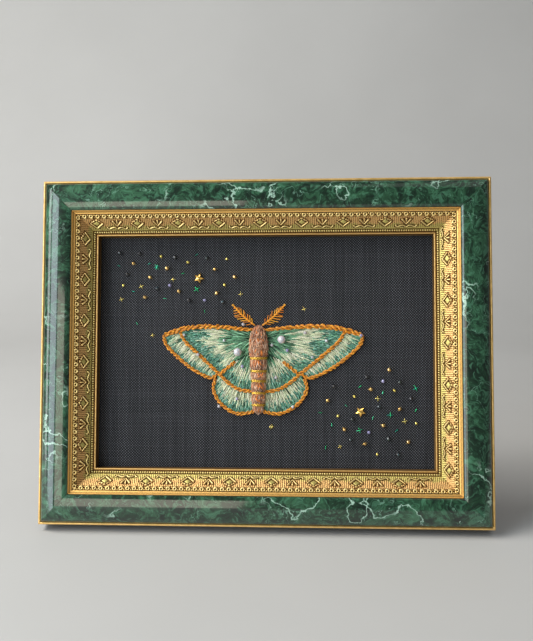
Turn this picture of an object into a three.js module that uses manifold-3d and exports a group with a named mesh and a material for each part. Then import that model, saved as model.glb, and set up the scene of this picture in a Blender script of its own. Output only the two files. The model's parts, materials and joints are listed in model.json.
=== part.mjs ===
// Framed embroidered moth on an easel leg, in millimetres.
// The world has +Z up and the picture faces -Y. The picture itself is worked out flat, with x to the right,
// y up its face and z out towards the viewer, and then leant back as one group.

import * as THREE from 'three';
import { mergeVertices } from 'three/addons/utils/BufferGeometryUtils.js';
import Module from 'manifold-3d';

const wasm = await Module();
wasm.setup();

// Driving dimensions

const sightWidth = 165.1;
const sightHeight = 114.3;
const leanAngle = THREE.MathUtils.degToRad(12);
const gap = 0.3;
const mitreRelief = 0.1;

// moulding, measured outwards from the sight edge
const linerWidth = 11.6;
const railInner = linerWidth + gap;
const railOuter = 27;
const rebateWidth = 6.35;
const backLevel = -12;
const backChamfer = 0.6;
const linerUnderside = -4;
const ledgeLevel = linerUnderside - gap;
const cushionInner = 12.2;
const cushionCrest = 16.5;
const cushionOuter = 25.55;
const cushionInnerLevel = 8.8;
const cushionTop = 9.6;
const cushionFootLevel = 5.2;
const lipRadius = 0.6;
const lipLevel = 4.9;

// ribbed slope of the liner, which carries the ornaments
const slopeFoot = new THREE.Vector2(2.6, 2);
const slopeHead = new THREE.Vector2(8.3, 5.8);
const motifPitch = 20.3;
const motifSink = 0.3;

// what fills the rebate, from the front
const panelMargin = rebateWidth - gap;
const fabricFront = linerUnderside - gap;
const fabricThickness = 0.5;
const boardThickness = 2.2;
const backingThickness = 3;
const tabThickness = 0.5;

// easel leg
const hingeHeight = 30;
const openAngle = THREE.MathUtils.degToRad(24);
const hingePlateThickness = 0.8;
const axisFromPlate = 2.1;
const pinRadius = 0.8;
const knuckleBore = 1.1;
const knuckleRadius = 1.7;
const leafLength = 22;
const leafHalfWidth = 7;
const leafThickness = 0.8;
const stopClearance = 0.1;
const legThickness = 3;
const legTop = 2.6;
const legHalfWidthTop = 11;
const legHalfWidthFoot = 18;

// moth, measured from the middle of its waist
const mothX = -3;
const mothY = -3.8;
const stitchBase = fabricFront + gap;
const wingThickness = 0.6;
const cordGap = 0.15;
const cordBase = stitchBase + wingThickness + cordGap;
const cordWidth = 1.8;
const cordHeight = 1.3;
const costaWidth = 2.6;
const costaHeight = 1.8;
const wingReach = { left: 0.96, right: 1.04 };

// half widths of the padded body, from the brow to the tip of the tail
const bodyProfile = [
  [16.6, 0.9],
  [15.6, 2.4],
  [13, 3.7],
  [9, 4.6],
  [5, 4.9],
  [1.6, 4.4],
  [0.4, 4.1],
  [-3, 4.1],
  [-5.9, 3.6],
  [-8.4, 3.8],
  [-10.8, 3.4],
  [-13.8, 3.6],
  [-16.7, 3.2],
  [-19.7, 3.4],
  [-22.6, 2.9],
  [-25, 2.5],
  [-26.9, 1.1],
];
const wrapHeights = [0.4, -5.9, -10.8, -16.7, -22.6];
const wrapWidth = 1.1;
const wrapThickness = 0.45;
const bodyRoundness = 0.95;

// Finishes

function finish(color, roughness, metalness) {
  return new THREE.MeshStandardMaterial({ color, roughness, metalness });
}

const greenMarble = () => finish(0x14452f, 0.15, 0);
const gilding = () => finish(0xc39a45, 0.4, 0.8);
const blackCloth = () => finish(0x2b2e34, 0.9, 0);
const greyCard = () => finish(0x8b8578, 0.9, 0);
const brownBoard = () => finish(0x5d4632, 0.85, 0);
const blackBoard = () => finish(0x1d1d1f, 0.8, 0);
const steel = () => finish(0x9a9ca0, 0.35, 1);
const brass = () => finish(0xb08d4a, 0.3, 1);
const wingThread = () => finish(0x6aa98b, 0.6, 0);
const rustThread = () => finish(0xc46f1d, 0.6, 0);
const brownThread = () => finish(0x96603f, 0.85, 0);
const metalThread = () => finish(0xd9ab32, 0.3, 0.9);
const pearl = () => finish(0xefe9ee, 0.2, 0);
const goldCharm = () => finish(0xd3a845, 0.25, 1);
const goldBead = () => finish(0xb98d3c, 0.25, 1);

// Solids

function mesh(name, geometry, material) {
  const part = new THREE.Mesh(geometry, material);
  part.name = name;
  return part;
}

function toManifold(geometry) {
  const bare = geometry.clone();
  bare.deleteAttribute('normal');
  bare.deleteAttribute('uv');
  const merged = mergeVertices(bare, 1e-4);
  return new wasm.Manifold(
    new wasm.Mesh({
      numProp: 3,
      vertProperties: new Float32Array(merged.attributes.position.array),
      triVerts: new Uint32Array(merged.index.array),
    }),
  );
}

function fromManifold(solid) {
  const data = solid.getMesh();
  const geometry = new THREE.BufferGeometry();
  geometry.setAttribute('position', new THREE.BufferAttribute(data.vertProperties, 3));
  geometry.setIndex(new THREE.BufferAttribute(data.triVerts, 1));
  geometry.computeVertexNormals();
  return geometry;
}

function united(geometries) {
  return fromManifold(geometries.map(toManifold).reduce((sum, next) => sum.add(next)));
}

// A body through a row of rings that have the same number of points each, closed by a face over each end.
function loft(rings) {
  const count = rings[0].length;
  const points = rings.flat();
  const faces = [];
  for (let ring = 0; ring + 1 < rings.length; ring += 1) {
    for (let i = 0; i < count; i += 1) {
      const a = ring * count + i;
      const b = ring * count + ((i + 1) % count);
      faces.push(a, b, b + count, a, b + count, a + count);
    }
  }
  const last = (rings.length - 1) * count;
  for (let i = 1; i + 1 < count; i += 1) {
    faces.push(0, i + 1, i, last, last + i, last + i + 1);
  }
  const geometry = new THREE.BufferGeometry().setFromPoints(points);
  geometry.setIndex(faces);
  geometry.computeVertexNormals();
  return geometry;
}

function box(x0, x1, y0, y1, z0, z1) {
  const geometry = new THREE.BoxGeometry(x1 - x0, y1 - y0, z1 - z0);
  geometry.translate((x0 + x1) / 2, (y0 + y1) / 2, (z0 + z1) / 2);
  return geometry;
}

function plate(points, base, thickness) {
  const outline = new THREE.Shape(points);
  const geometry = new THREE.ExtrudeGeometry(outline, { depth: thickness, bevelEnabled: false });
  geometry.translate(0, 0, base);
  return geometry;
}

// Points of an arc, both ends included, with angles in degrees.
function arc(cx, cy, rx, ry, from, to, steps) {
  const points = [];
  for (let i = 0; i <= steps; i += 1) {
    const angle = THREE.MathUtils.degToRad(from + ((to - from) * i) / steps);
    points.push(new THREE.Vector2(cx + rx * Math.cos(angle), cy + ry * Math.sin(angle)));
  }
  return points;
}

const v2 = (x, y) => new THREE.Vector2(x, y);

// Moulding: a section (distance out from the sight edge, level) carried along a side and mitred at its ends

function mitredBar(section, halfAlong, halfAcross) {
  const across = section.map((p) => halfAcross + p.x);
  const points = [];
  for (const side of [-1, 1]) {
    section.forEach((p, i) => {
      const reach = halfAlong + p.x - mitreRelief;
      points.push(new THREE.Vector3(side * reach, across[i], p.y));
    });
  }
  const count = section.length;
  const faces = [];
  for (let i = 0; i < count; i += 1) {
    const next = (i + 1) % count;
    faces.push(i, next, count + next, i, count + next, count + i);
  }
  for (const [a, b, c] of THREE.ShapeUtils.triangulateShape(section, [])) {
    faces.push(a, c, b, count + a, count + b, count + c);
  }
  const geometry = new THREE.BufferGeometry().setFromPoints(points);
  geometry.setIndex(faces);
  return geometry;
}

const cushionFall = cushionTop - cushionFootLevel;
const railSection = [
  v2(rebateWidth, backLevel),
  v2(railOuter - backChamfer, backLevel),
  v2(railOuter, backLevel + backChamfer),
  ...arc(railOuter - lipRadius, lipLevel, lipRadius, lipRadius, 0, 180, 5),
  v2(cushionOuter + 0.1, lipLevel - 0.4),
  ...arc(cushionCrest, cushionFootLevel, cushionOuter - cushionCrest, cushionFall, 0, 90, 7),
  v2((cushionCrest + cushionInner) / 2, cushionTop - 0.33),
  v2(cushionInner, cushionInnerLevel),
  v2(railInner, cushionInnerLevel - 0.5),
  v2(railInner, ledgeLevel),
  v2(rebateWidth, ledgeLevel),
];

const linerSection = [
  v2(0, linerUnderside),
  v2(linerWidth, linerUnderside),
  v2(linerWidth, 8.4),
  v2(11.2, 8.3),
  v2(10.4, 6.6),
  ...arc(9.2, 6.2, 0.9, 0.9, 30, 180, 4),
  slopeHead,
  slopeFoot,
  ...arc(2.05, 1.7, 0.55, 0.75, 20, 190, 3),
  v2(1.25, 0.9),
  v2(0.95, 1.1),
  v2(0.35, 1.2),
  v2(0, 0.8),
];

// Ornaments of the liner, drawn with x along the side and y up the slope, and sunk a little into it

const slopeVector = slopeHead.clone().sub(slopeFoot);
const slopeAngle = slopeVector.angle();

function lozenge() {
  const [halfWidth, low, high, tall] = [3.2, 1.6, 6, 1.1];
  const middle = (low + high) / 2;
  const ring = (share, level) => [
    new THREE.Vector3(-halfWidth * share, middle, level),
    new THREE.Vector3(0, middle - (middle - low) * share, level),
    new THREE.Vector3(halfWidth * share, middle, level),
    new THREE.Vector3(0, middle + (high - middle) * share, level),
  ];
  return loft([ring(1, 0), ring(0.75, tall), ring(0.5, tall), ring(0.35, tall * 0.75)]);
}

// The whole outline from its right half, which starts and ends on the middle line.
function bothHalves(half) {
  const inner = half.slice(1, -1).reverse();
  return [...half, ...inner.map((p) => v2(-p.x, p.y))];
}

function trefoil() {
  const half = [v2(0, 2.7), v2(1.7, 3.7), v2(2.1, 5.2), v2(0.9, 4.6), v2(0, 5.9)];
  return plate(bothHalves(half), 0, 0.95);
}

function brace() {
  const half = [v2(0, 1.2), v2(2, 0.7), v2(4.7, 1.3), v2(2, 1.7), v2(0, 2.3)];
  return plate(bothHalves(half), 0, 0.8);
}

function ornaments(halfAlong, halfAcross, phase) {
  const upSlope = new THREE.Matrix4()
    .makeTranslation(0, halfAcross + slopeFoot.x, slopeFoot.y)
    .multiply(new THREE.Matrix4().makeRotationX(slopeAngle))
    .multiply(new THREE.Matrix4().makeTranslation(0, 0, -motifSink));
  const found = [];
  const furthest = halfAlong + 1.5;
  const count = Math.ceil(furthest / motifPitch) * 2;
  for (let step = -count; step <= count; step += 1) {
    const at = phase + (step * motifPitch) / 2;
    if (Math.abs(at) > furthest) continue;
    const group = step % 2 === 0 ? [lozenge()] : [trefoil(), brace()];
    for (const shape of group) {
      found.push(shape.translate(at, 0, 0).applyMatrix4(upSlope));
    }
  }
  return found;
}

const halfWidth = sightWidth / 2;
const halfHeight = sightHeight / 2;
const sides = [
  { side: 'top', along: halfWidth, across: halfHeight, turn: 0, phase: -1.8 },
  { side: 'left', along: halfHeight, across: halfWidth, turn: 90, phase: -5.2 },
  { side: 'bottom', along: halfWidth, across: halfHeight, turn: 180, phase: -3.9 },
  { side: 'right', along: halfHeight, across: halfWidth, turn: -90, phase: -4.2 },
];

function mouldings() {
  return sides.flatMap(({ side, along, across, turn, phase }) => {
    const angle = THREE.MathUtils.degToRad(turn);
    const rail = mitredBar(railSection, along, across).rotateZ(angle);
    const liner = united([mitredBar(linerSection, along, across), ...ornaments(along, across, phase)]);
    return [
      mesh(`rail_${side}`, rail, greenMarble()),
      mesh(`liner_${side}`, liner.rotateZ(angle), gilding()),
    ];
  });
}

// Cloth stretched over a card, the backing board and the bent tabs that hold them in the rebate

const panelHalfWidth = halfWidth + panelMargin;
const panelHalfHeight = halfHeight + panelMargin;
const cardFront = fabricFront - fabricThickness - gap;
const backingFront = cardFront - boardThickness - gap;
const backingBack = backingFront - backingThickness;

function centred(halfX, halfY, front, thickness) {
  return box(-halfX, halfX, -halfY, halfY, front - thickness, front);
}

function fabric() {
  const depth = fabricThickness + gap + boardThickness;
  const outside = centred(panelHalfWidth, panelHalfHeight, fabricFront, depth);
  const insideX = panelHalfWidth - fabricThickness;
  const insideY = panelHalfHeight - fabricThickness;
  const inside = centred(insideX, insideY, fabricFront - fabricThickness, depth);
  return fromManifold(toManifold(outside).subtract(toManifold(inside)));
}

function picturePanel() {
  const cardX = panelHalfWidth - fabricThickness - gap;
  const cardY = panelHalfHeight - fabricThickness - gap;
  const backing = centred(panelHalfWidth, panelHalfHeight, backingFront, backingThickness);
  return [
    mesh('fabric', fabric(), blackCloth()),
    mesh('mount_card', centred(cardX, cardY, cardFront, boardThickness), greyCard()),
    mesh('backing_board', backing, brownBoard()),
  ];
}

function retainingTabs() {
  const [length, width] = [11, 5];
  const front = backingBack - gap;
  const spots = [
    { x: -52, y: panelHalfHeight, turn: 0 },
    { x: 52, y: panelHalfHeight, turn: 0 },
    { x: -52, y: -panelHalfHeight, turn: 180 },
    { x: 52, y: -panelHalfHeight, turn: 180 },
    { x: -panelHalfWidth, y: 0, turn: 90 },
    { x: panelHalfWidth, y: 0, turn: -90 },
  ];
  return spots.map(({ x, y, turn }, i) => {
    const outline = [
      v2(-width / 2, 0),
      v2(-width / 2, -length + 2),
      v2(-width / 4, -length),
      v2(width / 4, -length),
      v2(width / 2, -length + 2),
      v2(width / 2, 0),
    ];
    const tab = plate(outline, front - tabThickness, tabThickness);
    tab.rotateZ(THREE.MathUtils.degToRad(turn)).translate(x, y, 0);
    return mesh(`retaining_tab_${i + 1}`, tab, steel());
  });
}

// Easel leg: a hinge bracket on the backing board, a leaf that turns on its pin, and the leg under the leaf

const bracketFront = backingBack - gap;
const bracketBack = bracketFront - hingePlateThickness;
const axisLevel = bracketBack - axisFromPlate;
const earThickness = 1;
const earHalfHeight = 2;
const earReach = 1.5;

function cylinderAlongX(radius, halfLength, sides) {
  return new THREE.CylinderGeometry(radius, radius, 2 * halfLength, sides).rotateZ(Math.PI / 2);
}

function hingeBracket() {
  const earInner = leafHalfWidth + 0.4;
  const earOuter = earInner + earThickness;
  const ear = (side) =>
    box(
      Math.min(side * earInner, side * earOuter),
      Math.max(side * earInner, side * earOuter),
      hingeHeight - earHalfHeight,
      hingeHeight + earHalfHeight,
      axisLevel - earReach,
      bracketBack + hingePlateThickness / 2,
    );
  const base = box(-14, 14, hingeHeight - 9, hingeHeight + 9, bracketBack, bracketFront);
  const pin = cylinderAlongX(pinRadius, earOuter - earThickness / 4, 12).translate(0, hingeHeight, axisLevel);
  return mesh('hinge_bracket', united([base, ear(-1), ear(1), pin]), brass());
}

// The leg group has its origin on the pin, with the leg hanging along -y and its outer face towards -z.
function easelLeg() {
  const fromVertical = openAngle - leanAngle;
  const restingEdge = v2(-halfHeight - railOuter, backLevel + backChamfer);
  const upTheBack = (hingeHeight - restingEdge.x) * Math.cos(leanAngle);
  const axisAboveTable = upTheBack + (axisLevel - restingEdge.y) * Math.sin(leanAngle);
  const footAt = (depth) => (axisAboveTable + depth * Math.sin(fromVertical)) / Math.cos(fromVertical);
  const legInner = leafThickness / 2 + gap;
  const legOuter = legInner + legThickness;
  const widthAt = (s) => legHalfWidthTop + ((legHalfWidthFoot - legHalfWidthTop) * s) / footAt(legInner);
  const ring = (depth) => [
    new THREE.Vector3(-widthAt(legTop), -legTop, -depth),
    new THREE.Vector3(widthAt(legTop), -legTop, -depth),
    new THREE.Vector3(widthAt(footAt(depth)), -footAt(depth), -depth),
    new THREE.Vector3(-widthAt(footAt(depth)), -footAt(depth), -depth),
  ];
  const leg = mesh('easel_leg', loft([ring(legInner), ring(legOuter)]), blackBoard());

  const tailSlack = axisFromPlate - stopClearance - (leafThickness / 2) * Math.cos(openAngle);
  const stopTail = tailSlack / Math.sin(openAngle);
  const leafHalf = leafThickness / 2;
  const strip = box(-leafHalfWidth, leafHalfWidth, -leafLength, stopTail, -leafHalf, leafHalf);
  const knuckle = cylinderAlongX(knuckleRadius, leafHalfWidth, 16);
  const bore = cylinderAlongX(knuckleBore, leafHalfWidth + 1, 16);
  const leaf = toManifold(strip).add(toManifold(knuckle)).subtract(toManifold(bore));
  const group = new THREE.Group();
  group.add(leg, mesh('hinge_leaf', fromManifold(leaf), brass()));
  group.position.set(0, hingeHeight, axisLevel);
  group.rotation.x = openAngle;
  return group;
}

// Moth: outlines for the right side, with x out from the middle of the body, mirrored for the left

const costaLine = [v2(5.2, 14.5), v2(19, 16), v2(32, 16.2), v2(43, 14.5), v2(48.6, 12)];
const forewingMargin = [
  v2(49.2, 10.6),
  v2(47.4, 6.4),
  v2(41.2, 0.4),
  v2(33.6, -5.2),
  v2(24.8, -9.2),
  v2(20.8, -7.3),
];
const crossBand = [
  v2(41.2, 13.2),
  v2(37.6, 8.2),
  v2(30, 1.4),
  v2(20.4, -7),
  v2(15, -11.8),
  v2(9.6, -15),
  v2(5, -15.8),
];
const hindMargin = [
  v2(22.4, -11.6),
  v2(23, -15),
  v2(20.6, -20.2),
  v2(16, -24.4),
  v2(10.4, -26.8),
  v2(4.4, -26.2),
];
const wingSplit = [v2(6.3, 1.9), v2(11.6, -1), v2(18.4, -7), v2(21.6, -10.2)];
const spurLine = [v2(11.8, -1.2), v2(19.4, -7.4)];

function bodyHalfWidth(y) {
  for (let i = 0; i + 1 < bodyProfile.length; i += 1) {
    const [y0, w0] = bodyProfile[i];
    const [y1, w1] = bodyProfile[i + 1];
    if (y <= y0 && y >= y1) return w0 + ((w1 - w0) * (y0 - y)) / (y0 - y1);
  }
  return 0;
}

const smooth = (points, count) => new THREE.SplineCurve(points).getPoints(count);
const mirrored = (points, side) => points.map((p) => v2(p.x * side, p.y));
const stretchFull = 30;

// A wing line drawn out or in towards its tip, and left alone at the body.
function stretched(points, reach) {
  return points.map((p) => v2(p.x * (1 + (reach - 1) * Math.min(1, p.x / stretchFull)), p.y));
}

// The edge of a wing beside the body, from one height to another.
function besideBody(from, to, steps) {
  const points = [];
  for (let i = 0; i <= steps; i += 1) {
    const y = from + ((to - from) * i) / steps;
    points.push(v2(bodyHalfWidth(y) + wrapThickness + 2.2 * gap, y));
  }
  return points;
}

function wingPlate(name, outline, side, reach) {
  const turned = mirrored(stretched(outline, reach), side);
  if (THREE.ShapeUtils.isClockWise(turned)) turned.reverse();
  return mesh(name, plate(turned, stitchBase, wingThickness), wingThread());
}

function forewingOutline() {
  const lower = smooth(wingSplit, 6).reverse();
  return [
    ...smooth(costaLine, 8).map((p) => v2(p.x, p.y + 1)),
    ...smooth(forewingMargin, 9).map((p) => v2(p.x + 0.4, p.y - 0.4)),
    ...lower.slice(1),
    ...besideBody(3.2, 15.2, 5),
  ];
}

function hindwingOutline() {
  const upper = smooth(wingSplit, 6).map((p) => v2(p.x - 0.1, p.y - 0.5));
  return [
    ...upper.slice(0, -1),
    ...smooth(hindMargin, 10).map((p) => v2(p.x + 0.5, p.y - 0.4)),
    ...besideBody(-26.2, 0.4, 9),
  ];
}

// A line of stem stitch: an oval section carried along a flat line.
function cord(line, width, height, steps, side, reach) {
  const turned = mirrored(stretched(line, reach), side);
  const raised = turned.map((p) => new THREE.Vector3(p.x, p.y, cordBase + height / 2));
  const path = new THREE.CatmullRomCurve3(raised);
  const rings = [];
  for (let i = 0; i <= steps; i += 1) {
    const at = path.getPointAt(i / steps);
    const along = path.getTangentAt(i / steps);
    const out = new THREE.Vector3(-along.y, along.x, 0).normalize();
    const taper = i === 0 || i === steps ? 0.6 : 1;
    const ring = arc(0, 0, (width / 2) * taper, (height / 2) * taper, 0, 300, 5).map((p) =>
      at.clone().addScaledVector(out, -p.x).add(new THREE.Vector3(0, 0, p.y)),
    );
    rings.push(ring.reverse());
  }
  return loft(rings);
}

function wingCords(side, word) {
  const reach = wingReach[word];
  const line = (points, steps) => cord(points, cordWidth, cordHeight, steps, side, reach);
  const foreLines = united([line(forewingMargin, 14), line(crossBand, 16), line(spurLine, 3)]);
  return [
    mesh(`costa_cord_${word}`, cord(costaLine, costaWidth, costaHeight, 10, side, reach), rustThread()),
    mesh(`forewing_cords_${word}`, foreLines, rustThread()),
    mesh(`hindwing_cord_${word}`, line(hindMargin, 12), rustThread()),
  ];
}

function arch(halfWidthInside, halfWidthOutside) {
  const outer = arc(0, 0, halfWidthOutside, halfWidthOutside * bodyRoundness, 0, 180, 10);
  const inner = arc(0, 0, halfWidthInside, halfWidthInside * bodyRoundness, 180, 0, 10);
  return new THREE.Shape([...outer, ...inner]);
}

function mothBody() {
  const rings = bodyProfile.map(([y, half]) =>
    arc(0, 0, half, half * bodyRoundness, 0, 180, 9).map((p) => new THREE.Vector3(p.x, y, stitchBase + p.y)),
  );
  return mesh('moth_body', loft(rings), brownThread());
}

function bodyWraps() {
  return wrapHeights.map((y, i) => {
    const inside = Math.max(bodyHalfWidth(y - wrapWidth / 2), bodyHalfWidth(y + wrapWidth / 2)) + gap;
    const section = arch(inside, inside + wrapThickness);
    const band = new THREE.ExtrudeGeometry(section, { depth: wrapWidth, bevelEnabled: false });
    band.rotateX(Math.PI / 2).translate(0, y + wrapWidth / 2, stitchBase);
    return mesh(`body_wrap_${i + 1}`, band, metalThread());
  });
}

// A feathered antenna as one thin leaf that reaches the tips of its barbs.
function antenna(side, word) {
  const root = v2(1.7, 17.6);
  const tip = v2(12.8, 26.8);
  const shares = [0, 0.12, 0.3, 0.55, 0.8, 1];
  const halfWidths = [0.4, 2.2, 3.3, 2.8, 1.4, 0.35];
  const along = tip.clone().sub(root);
  const out = v2(-along.y, along.x).normalize();
  const onAxis = (share) => root.clone().addScaledVector(along, share);
  const edge = (sign) => shares.map((share, i) => onAxis(share).addScaledVector(out, sign * halfWidths[i]));
  const turned = mirrored([...edge(-1), ...edge(1).reverse()], side);
  if (THREE.ShapeUtils.isClockWise(turned)) turned.reverse();
  return mesh(`antenna_${word}`, plate(turned, stitchBase, wingThickness), rustThread());
}

function largePearls() {
  const radius = 2;
  const spots = { left: v2(-10.2, 3.4), right: v2(11.4, 9.6) };
  return Object.entries(spots).map(([word, p]) => {
    const ball = new THREE.SphereGeometry(radius, 12, 8).rotateX(Math.PI / 2);
    return mesh(`pearl_${word}`, ball.translate(p.x, p.y, cordBase + radius), pearl());
  });
}

function moth() {
  const group = new THREE.Group();
  for (const [word, side] of [['left', -1], ['right', 1]]) {
    const reach = wingReach[word];
    group.add(
      wingPlate(`forewing_${word}`, forewingOutline(), side, reach),
      wingPlate(`hindwing_${word}`, hindwingOutline(), side, reach),
      ...wingCords(side, word),
      antenna(side, word),
    );
  }
  group.add(mothBody(), ...bodyWraps(), ...largePearls());
  group.position.set(mothX, mothY, 0);
  return group;
}

// Night sky round the moth: a metal star charm and eight larger seed beads in each of two drifts

const starSpots = [v2(-33, 36.5), v2(47, -29.5)];
const beadSpots = [
  v2(-66, 44),
  v2(-57.5, 37),
  v2(-49, 41.5),
  v2(-43, 30),
  v2(-60, 27),
  v2(-24, 29),
  v2(-15, 37),
  v2(-25, 41),
  v2(31, -24),
  v2(39, -38),
  v2(52, -18.5),
  v2(58, -36),
  v2(66, -28),
  v2(49, -45),
  v2(70, -44),
  v2(61, -9),
];

function starCharm(spot, turn) {
  const [tipRadius, notchRadius, thickness] = [2.9, 1.3, 1.4];
  const ring = (share, level) => {
    const points = [];
    for (let i = 0; i < 10; i += 1) {
      const radius = (i % 2 === 0 ? tipRadius : notchRadius) * share;
      const angle = turn + (i * Math.PI) / 5;
      const x = spot.x + radius * Math.cos(angle);
      points.push(new THREE.Vector3(x, spot.y + radius * Math.sin(angle), stitchBase + level));
    }
    return points;
  };
  return loft([ring(1, 0), ring(1, thickness * 0.6), ring(0.55, thickness)]);
}

function nightSky() {
  const radius = 0.95;
  const stars = starSpots.map((spot, i) => {
    const turn = 1.2 + i;
    return mesh(`star_charm_${i + 1}`, starCharm(spot, turn), goldCharm());
  });
  const beads = beadSpots.map((spot, i) => {
    const ball = new THREE.SphereGeometry(radius, 8, 6).rotateX(Math.PI / 2);
    return mesh(`seed_bead_${i + 1}`, ball.translate(spot.x, spot.y, stitchBase + radius), goldBead());
  });
  return [...stars, ...beads];
}

// Assembly: the picture leans back on its lower back edge and its leg, above the middle of its own box

const picture = new THREE.Group();
picture.add(...mouldings(), ...picturePanel(), ...retainingTabs());
picture.add(hingeBracket(), easelLeg(), moth(), ...nightSky());
picture.rotation.x = Math.PI / 2 - leanAngle;

const group = new THREE.Group();
group.add(picture);
group.updateMatrixWorld(true);
const bounds = new THREE.Box3().setFromObject(group, true);
const middle = bounds.getCenter(new THREE.Vector3());
picture.position.set(-middle.x, -middle.y, -bounds.min.z);
group.updateMatrixWorld(true);

export default group;
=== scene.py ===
# %% [markdown]
# A moth is embroidered in thread on black cloth and stands in a small picture frame, on an easel leg. The
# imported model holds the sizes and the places. This lesson dresses it: the moulding gets its marbled lacquer and
# its pressed gilt ornament, the cloth its weave, and the moth is sewn again, stitch by stitch.
#
# Every new surface is worked out with numpy as whole arrays of points. The picture is easiest to think about
# flat, in millimetres, with x to the right, y up its face and z out towards the viewer. One function then leans
# it back into the frame that the model stands in.

# %% Load the frame
import json
import math

import bpy
import numpy as np
from mathutils import Matrix, Vector

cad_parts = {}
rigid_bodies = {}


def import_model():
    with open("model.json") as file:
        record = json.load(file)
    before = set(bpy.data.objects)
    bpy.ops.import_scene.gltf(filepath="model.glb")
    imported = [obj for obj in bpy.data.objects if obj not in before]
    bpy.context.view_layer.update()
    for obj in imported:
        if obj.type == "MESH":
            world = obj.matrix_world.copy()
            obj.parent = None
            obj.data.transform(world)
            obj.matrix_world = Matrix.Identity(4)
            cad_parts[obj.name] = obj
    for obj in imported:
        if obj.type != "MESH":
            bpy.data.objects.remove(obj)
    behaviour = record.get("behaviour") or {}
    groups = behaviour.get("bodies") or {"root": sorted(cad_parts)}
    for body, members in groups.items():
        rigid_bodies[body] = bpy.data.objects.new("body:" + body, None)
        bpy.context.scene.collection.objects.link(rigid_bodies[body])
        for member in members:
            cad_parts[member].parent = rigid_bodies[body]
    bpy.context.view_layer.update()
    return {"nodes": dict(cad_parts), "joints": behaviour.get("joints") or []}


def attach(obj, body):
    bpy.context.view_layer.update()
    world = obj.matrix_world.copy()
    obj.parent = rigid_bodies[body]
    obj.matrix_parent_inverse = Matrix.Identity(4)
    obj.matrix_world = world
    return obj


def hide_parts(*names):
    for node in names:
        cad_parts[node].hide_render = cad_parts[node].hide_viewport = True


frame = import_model()

# %% [markdown]
# The hinge of the easel leg is known both in the flat picture and in the leant frame, so it ties the two
# together: the picture is turned about X by its lean and shifted until its hinge lies on the model's.

# %% From the flat picture to the leant frame
MM = 0.001
LEAN = math.radians(12)
HINGE = np.array([0.0, 30.0, -13.8])
OPEN_ANGLE = math.radians(24)


def turned(points, angle):
    """Turns points about X: y goes to y cos - z sin, and z to y sin + z cos."""
    x, y, z = points[..., 0], points[..., 1], points[..., 2]
    c, s = math.cos(angle), math.sin(angle)
    return np.stack([x, y * c - z * s, y * s + z * c], -1)


UPRIGHT = math.pi / 2 - LEAN
hinge_in_model = np.array(frame["joints"][0]["pos_m"])
picture_origin = hinge_in_model - MM * turned(HINGE, UPRIGHT)


def leant(points):
    """The picture's points, in millimetres, as points of the model in metres."""
    return picture_origin + MM * turned(np.asarray(points, float), UPRIGHT)


def leg_place(points):
    """Points of the leg, which hangs from the hinge along -y and faces back along -z, turned open and leant."""
    return leant(HINGE + turned(np.asarray(points, float), OPEN_ANGLE))


print("the picture's middle is at", np.round(leant([0, 0, 0]), 4))

# %% [markdown]
# The camera comes early. Its place and direction were worked out from the corners of the frame in the photograph,
# in the flat picture's own axes, so the same function leans them back. The lens gives the photograph's
# perspective: 820 pixels of focal length on a frame 641 high.

# %% Camera
CAMERA_SPOT = [24.6, -7.0, 401.0]
CAMERA_AIM = [-0.0584, 0.0550, -0.9967]
CAMERA_UP = [0.0013, 0.9985, 0.0550]
FOCAL_PIXELS = 820
FRAME_HEIGHT_PIXELS = 641
SENSOR = 36

aim = Vector(turned(np.array(CAMERA_AIM), UPRIGHT)).normalized()
up = Vector(turned(np.array(CAMERA_UP), UPRIGHT)).normalized()
right = aim.cross(up).normalized()
up = right.cross(aim)
camera = bpy.data.objects.new("camera", bpy.data.cameras.new("camera"))
bpy.context.scene.collection.objects.link(camera)
camera.matrix_world = Matrix.Translation(leant(CAMERA_SPOT)) @ Matrix((right, up, -aim)).transposed().to_4x4()
camera.data.sensor_width = SENSOR
camera.data.lens = FOCAL_PIXELS / FRAME_HEIGHT_PIXELS * SENSOR
camera.data.clip_start = 0.01
bpy.context.scene.camera = camera
print("camera at", np.round(camera.location, 3), "lens", round(camera.data.lens, 1))

# %% [markdown]
# Two kinds of mesh carry nearly everything: a grid of points that is a function of two parameters, and a tube
# carried along a path. Both end in the same call, which fills a mesh from arrays. A value that changes from
# thread to thread, such as its colour, is stored on the points and read by the material.

# %% Meshes from arrays
def fill_mesh(name, points, face_sets, materials, body="frame", sharp=None):
    """A piece from points (n, 3) in metres and a list of face arrays, each (count, corners) of point numbers."""
    mesh = bpy.data.meshes.new(name)
    corners = np.concatenate([f.ravel() for f in face_sets]).astype(np.int32)
    totals = np.concatenate([np.full(len(f), f.shape[1]) for f in face_sets])
    starts = np.concatenate([[0], np.cumsum(totals)[:-1]]).astype(np.int32)
    mesh.vertices.add(len(points))
    mesh.vertices.foreach_set("co", np.ascontiguousarray(points, np.float32).ravel())
    mesh.loops.add(len(corners))
    mesh.loops.foreach_set("vertex_index", corners)
    mesh.polygons.add(len(totals))
    mesh.polygons.foreach_set("loop_start", starts)
    mesh.polygons.foreach_set("use_smooth", np.ones(len(totals), bool))
    mesh.update(calc_edges=True)
    if sharp is not None:
        mesh.set_sharp_from_angle(angle=math.radians(sharp))
    for material in materials:
        mesh.materials.append(material)
    piece = bpy.data.objects.new(name, mesh)
    bpy.context.scene.collection.objects.link(piece)
    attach(piece, body)
    return piece


def paint_points(piece, name, values):
    """Stores one number, or one colour, on each point of a piece."""
    values = np.asarray(values, np.float32)
    if values.ndim == 1:
        piece.data.attributes.new(name, "FLOAT", "POINT").data.foreach_set("value", values)
    else:
        flat = np.ones((len(values), 4), np.float32)
        flat[:, :3] = values
        piece.data.attributes.new(name, "FLOAT_COLOR", "POINT").data.foreach_set("color", flat.ravel())


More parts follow.
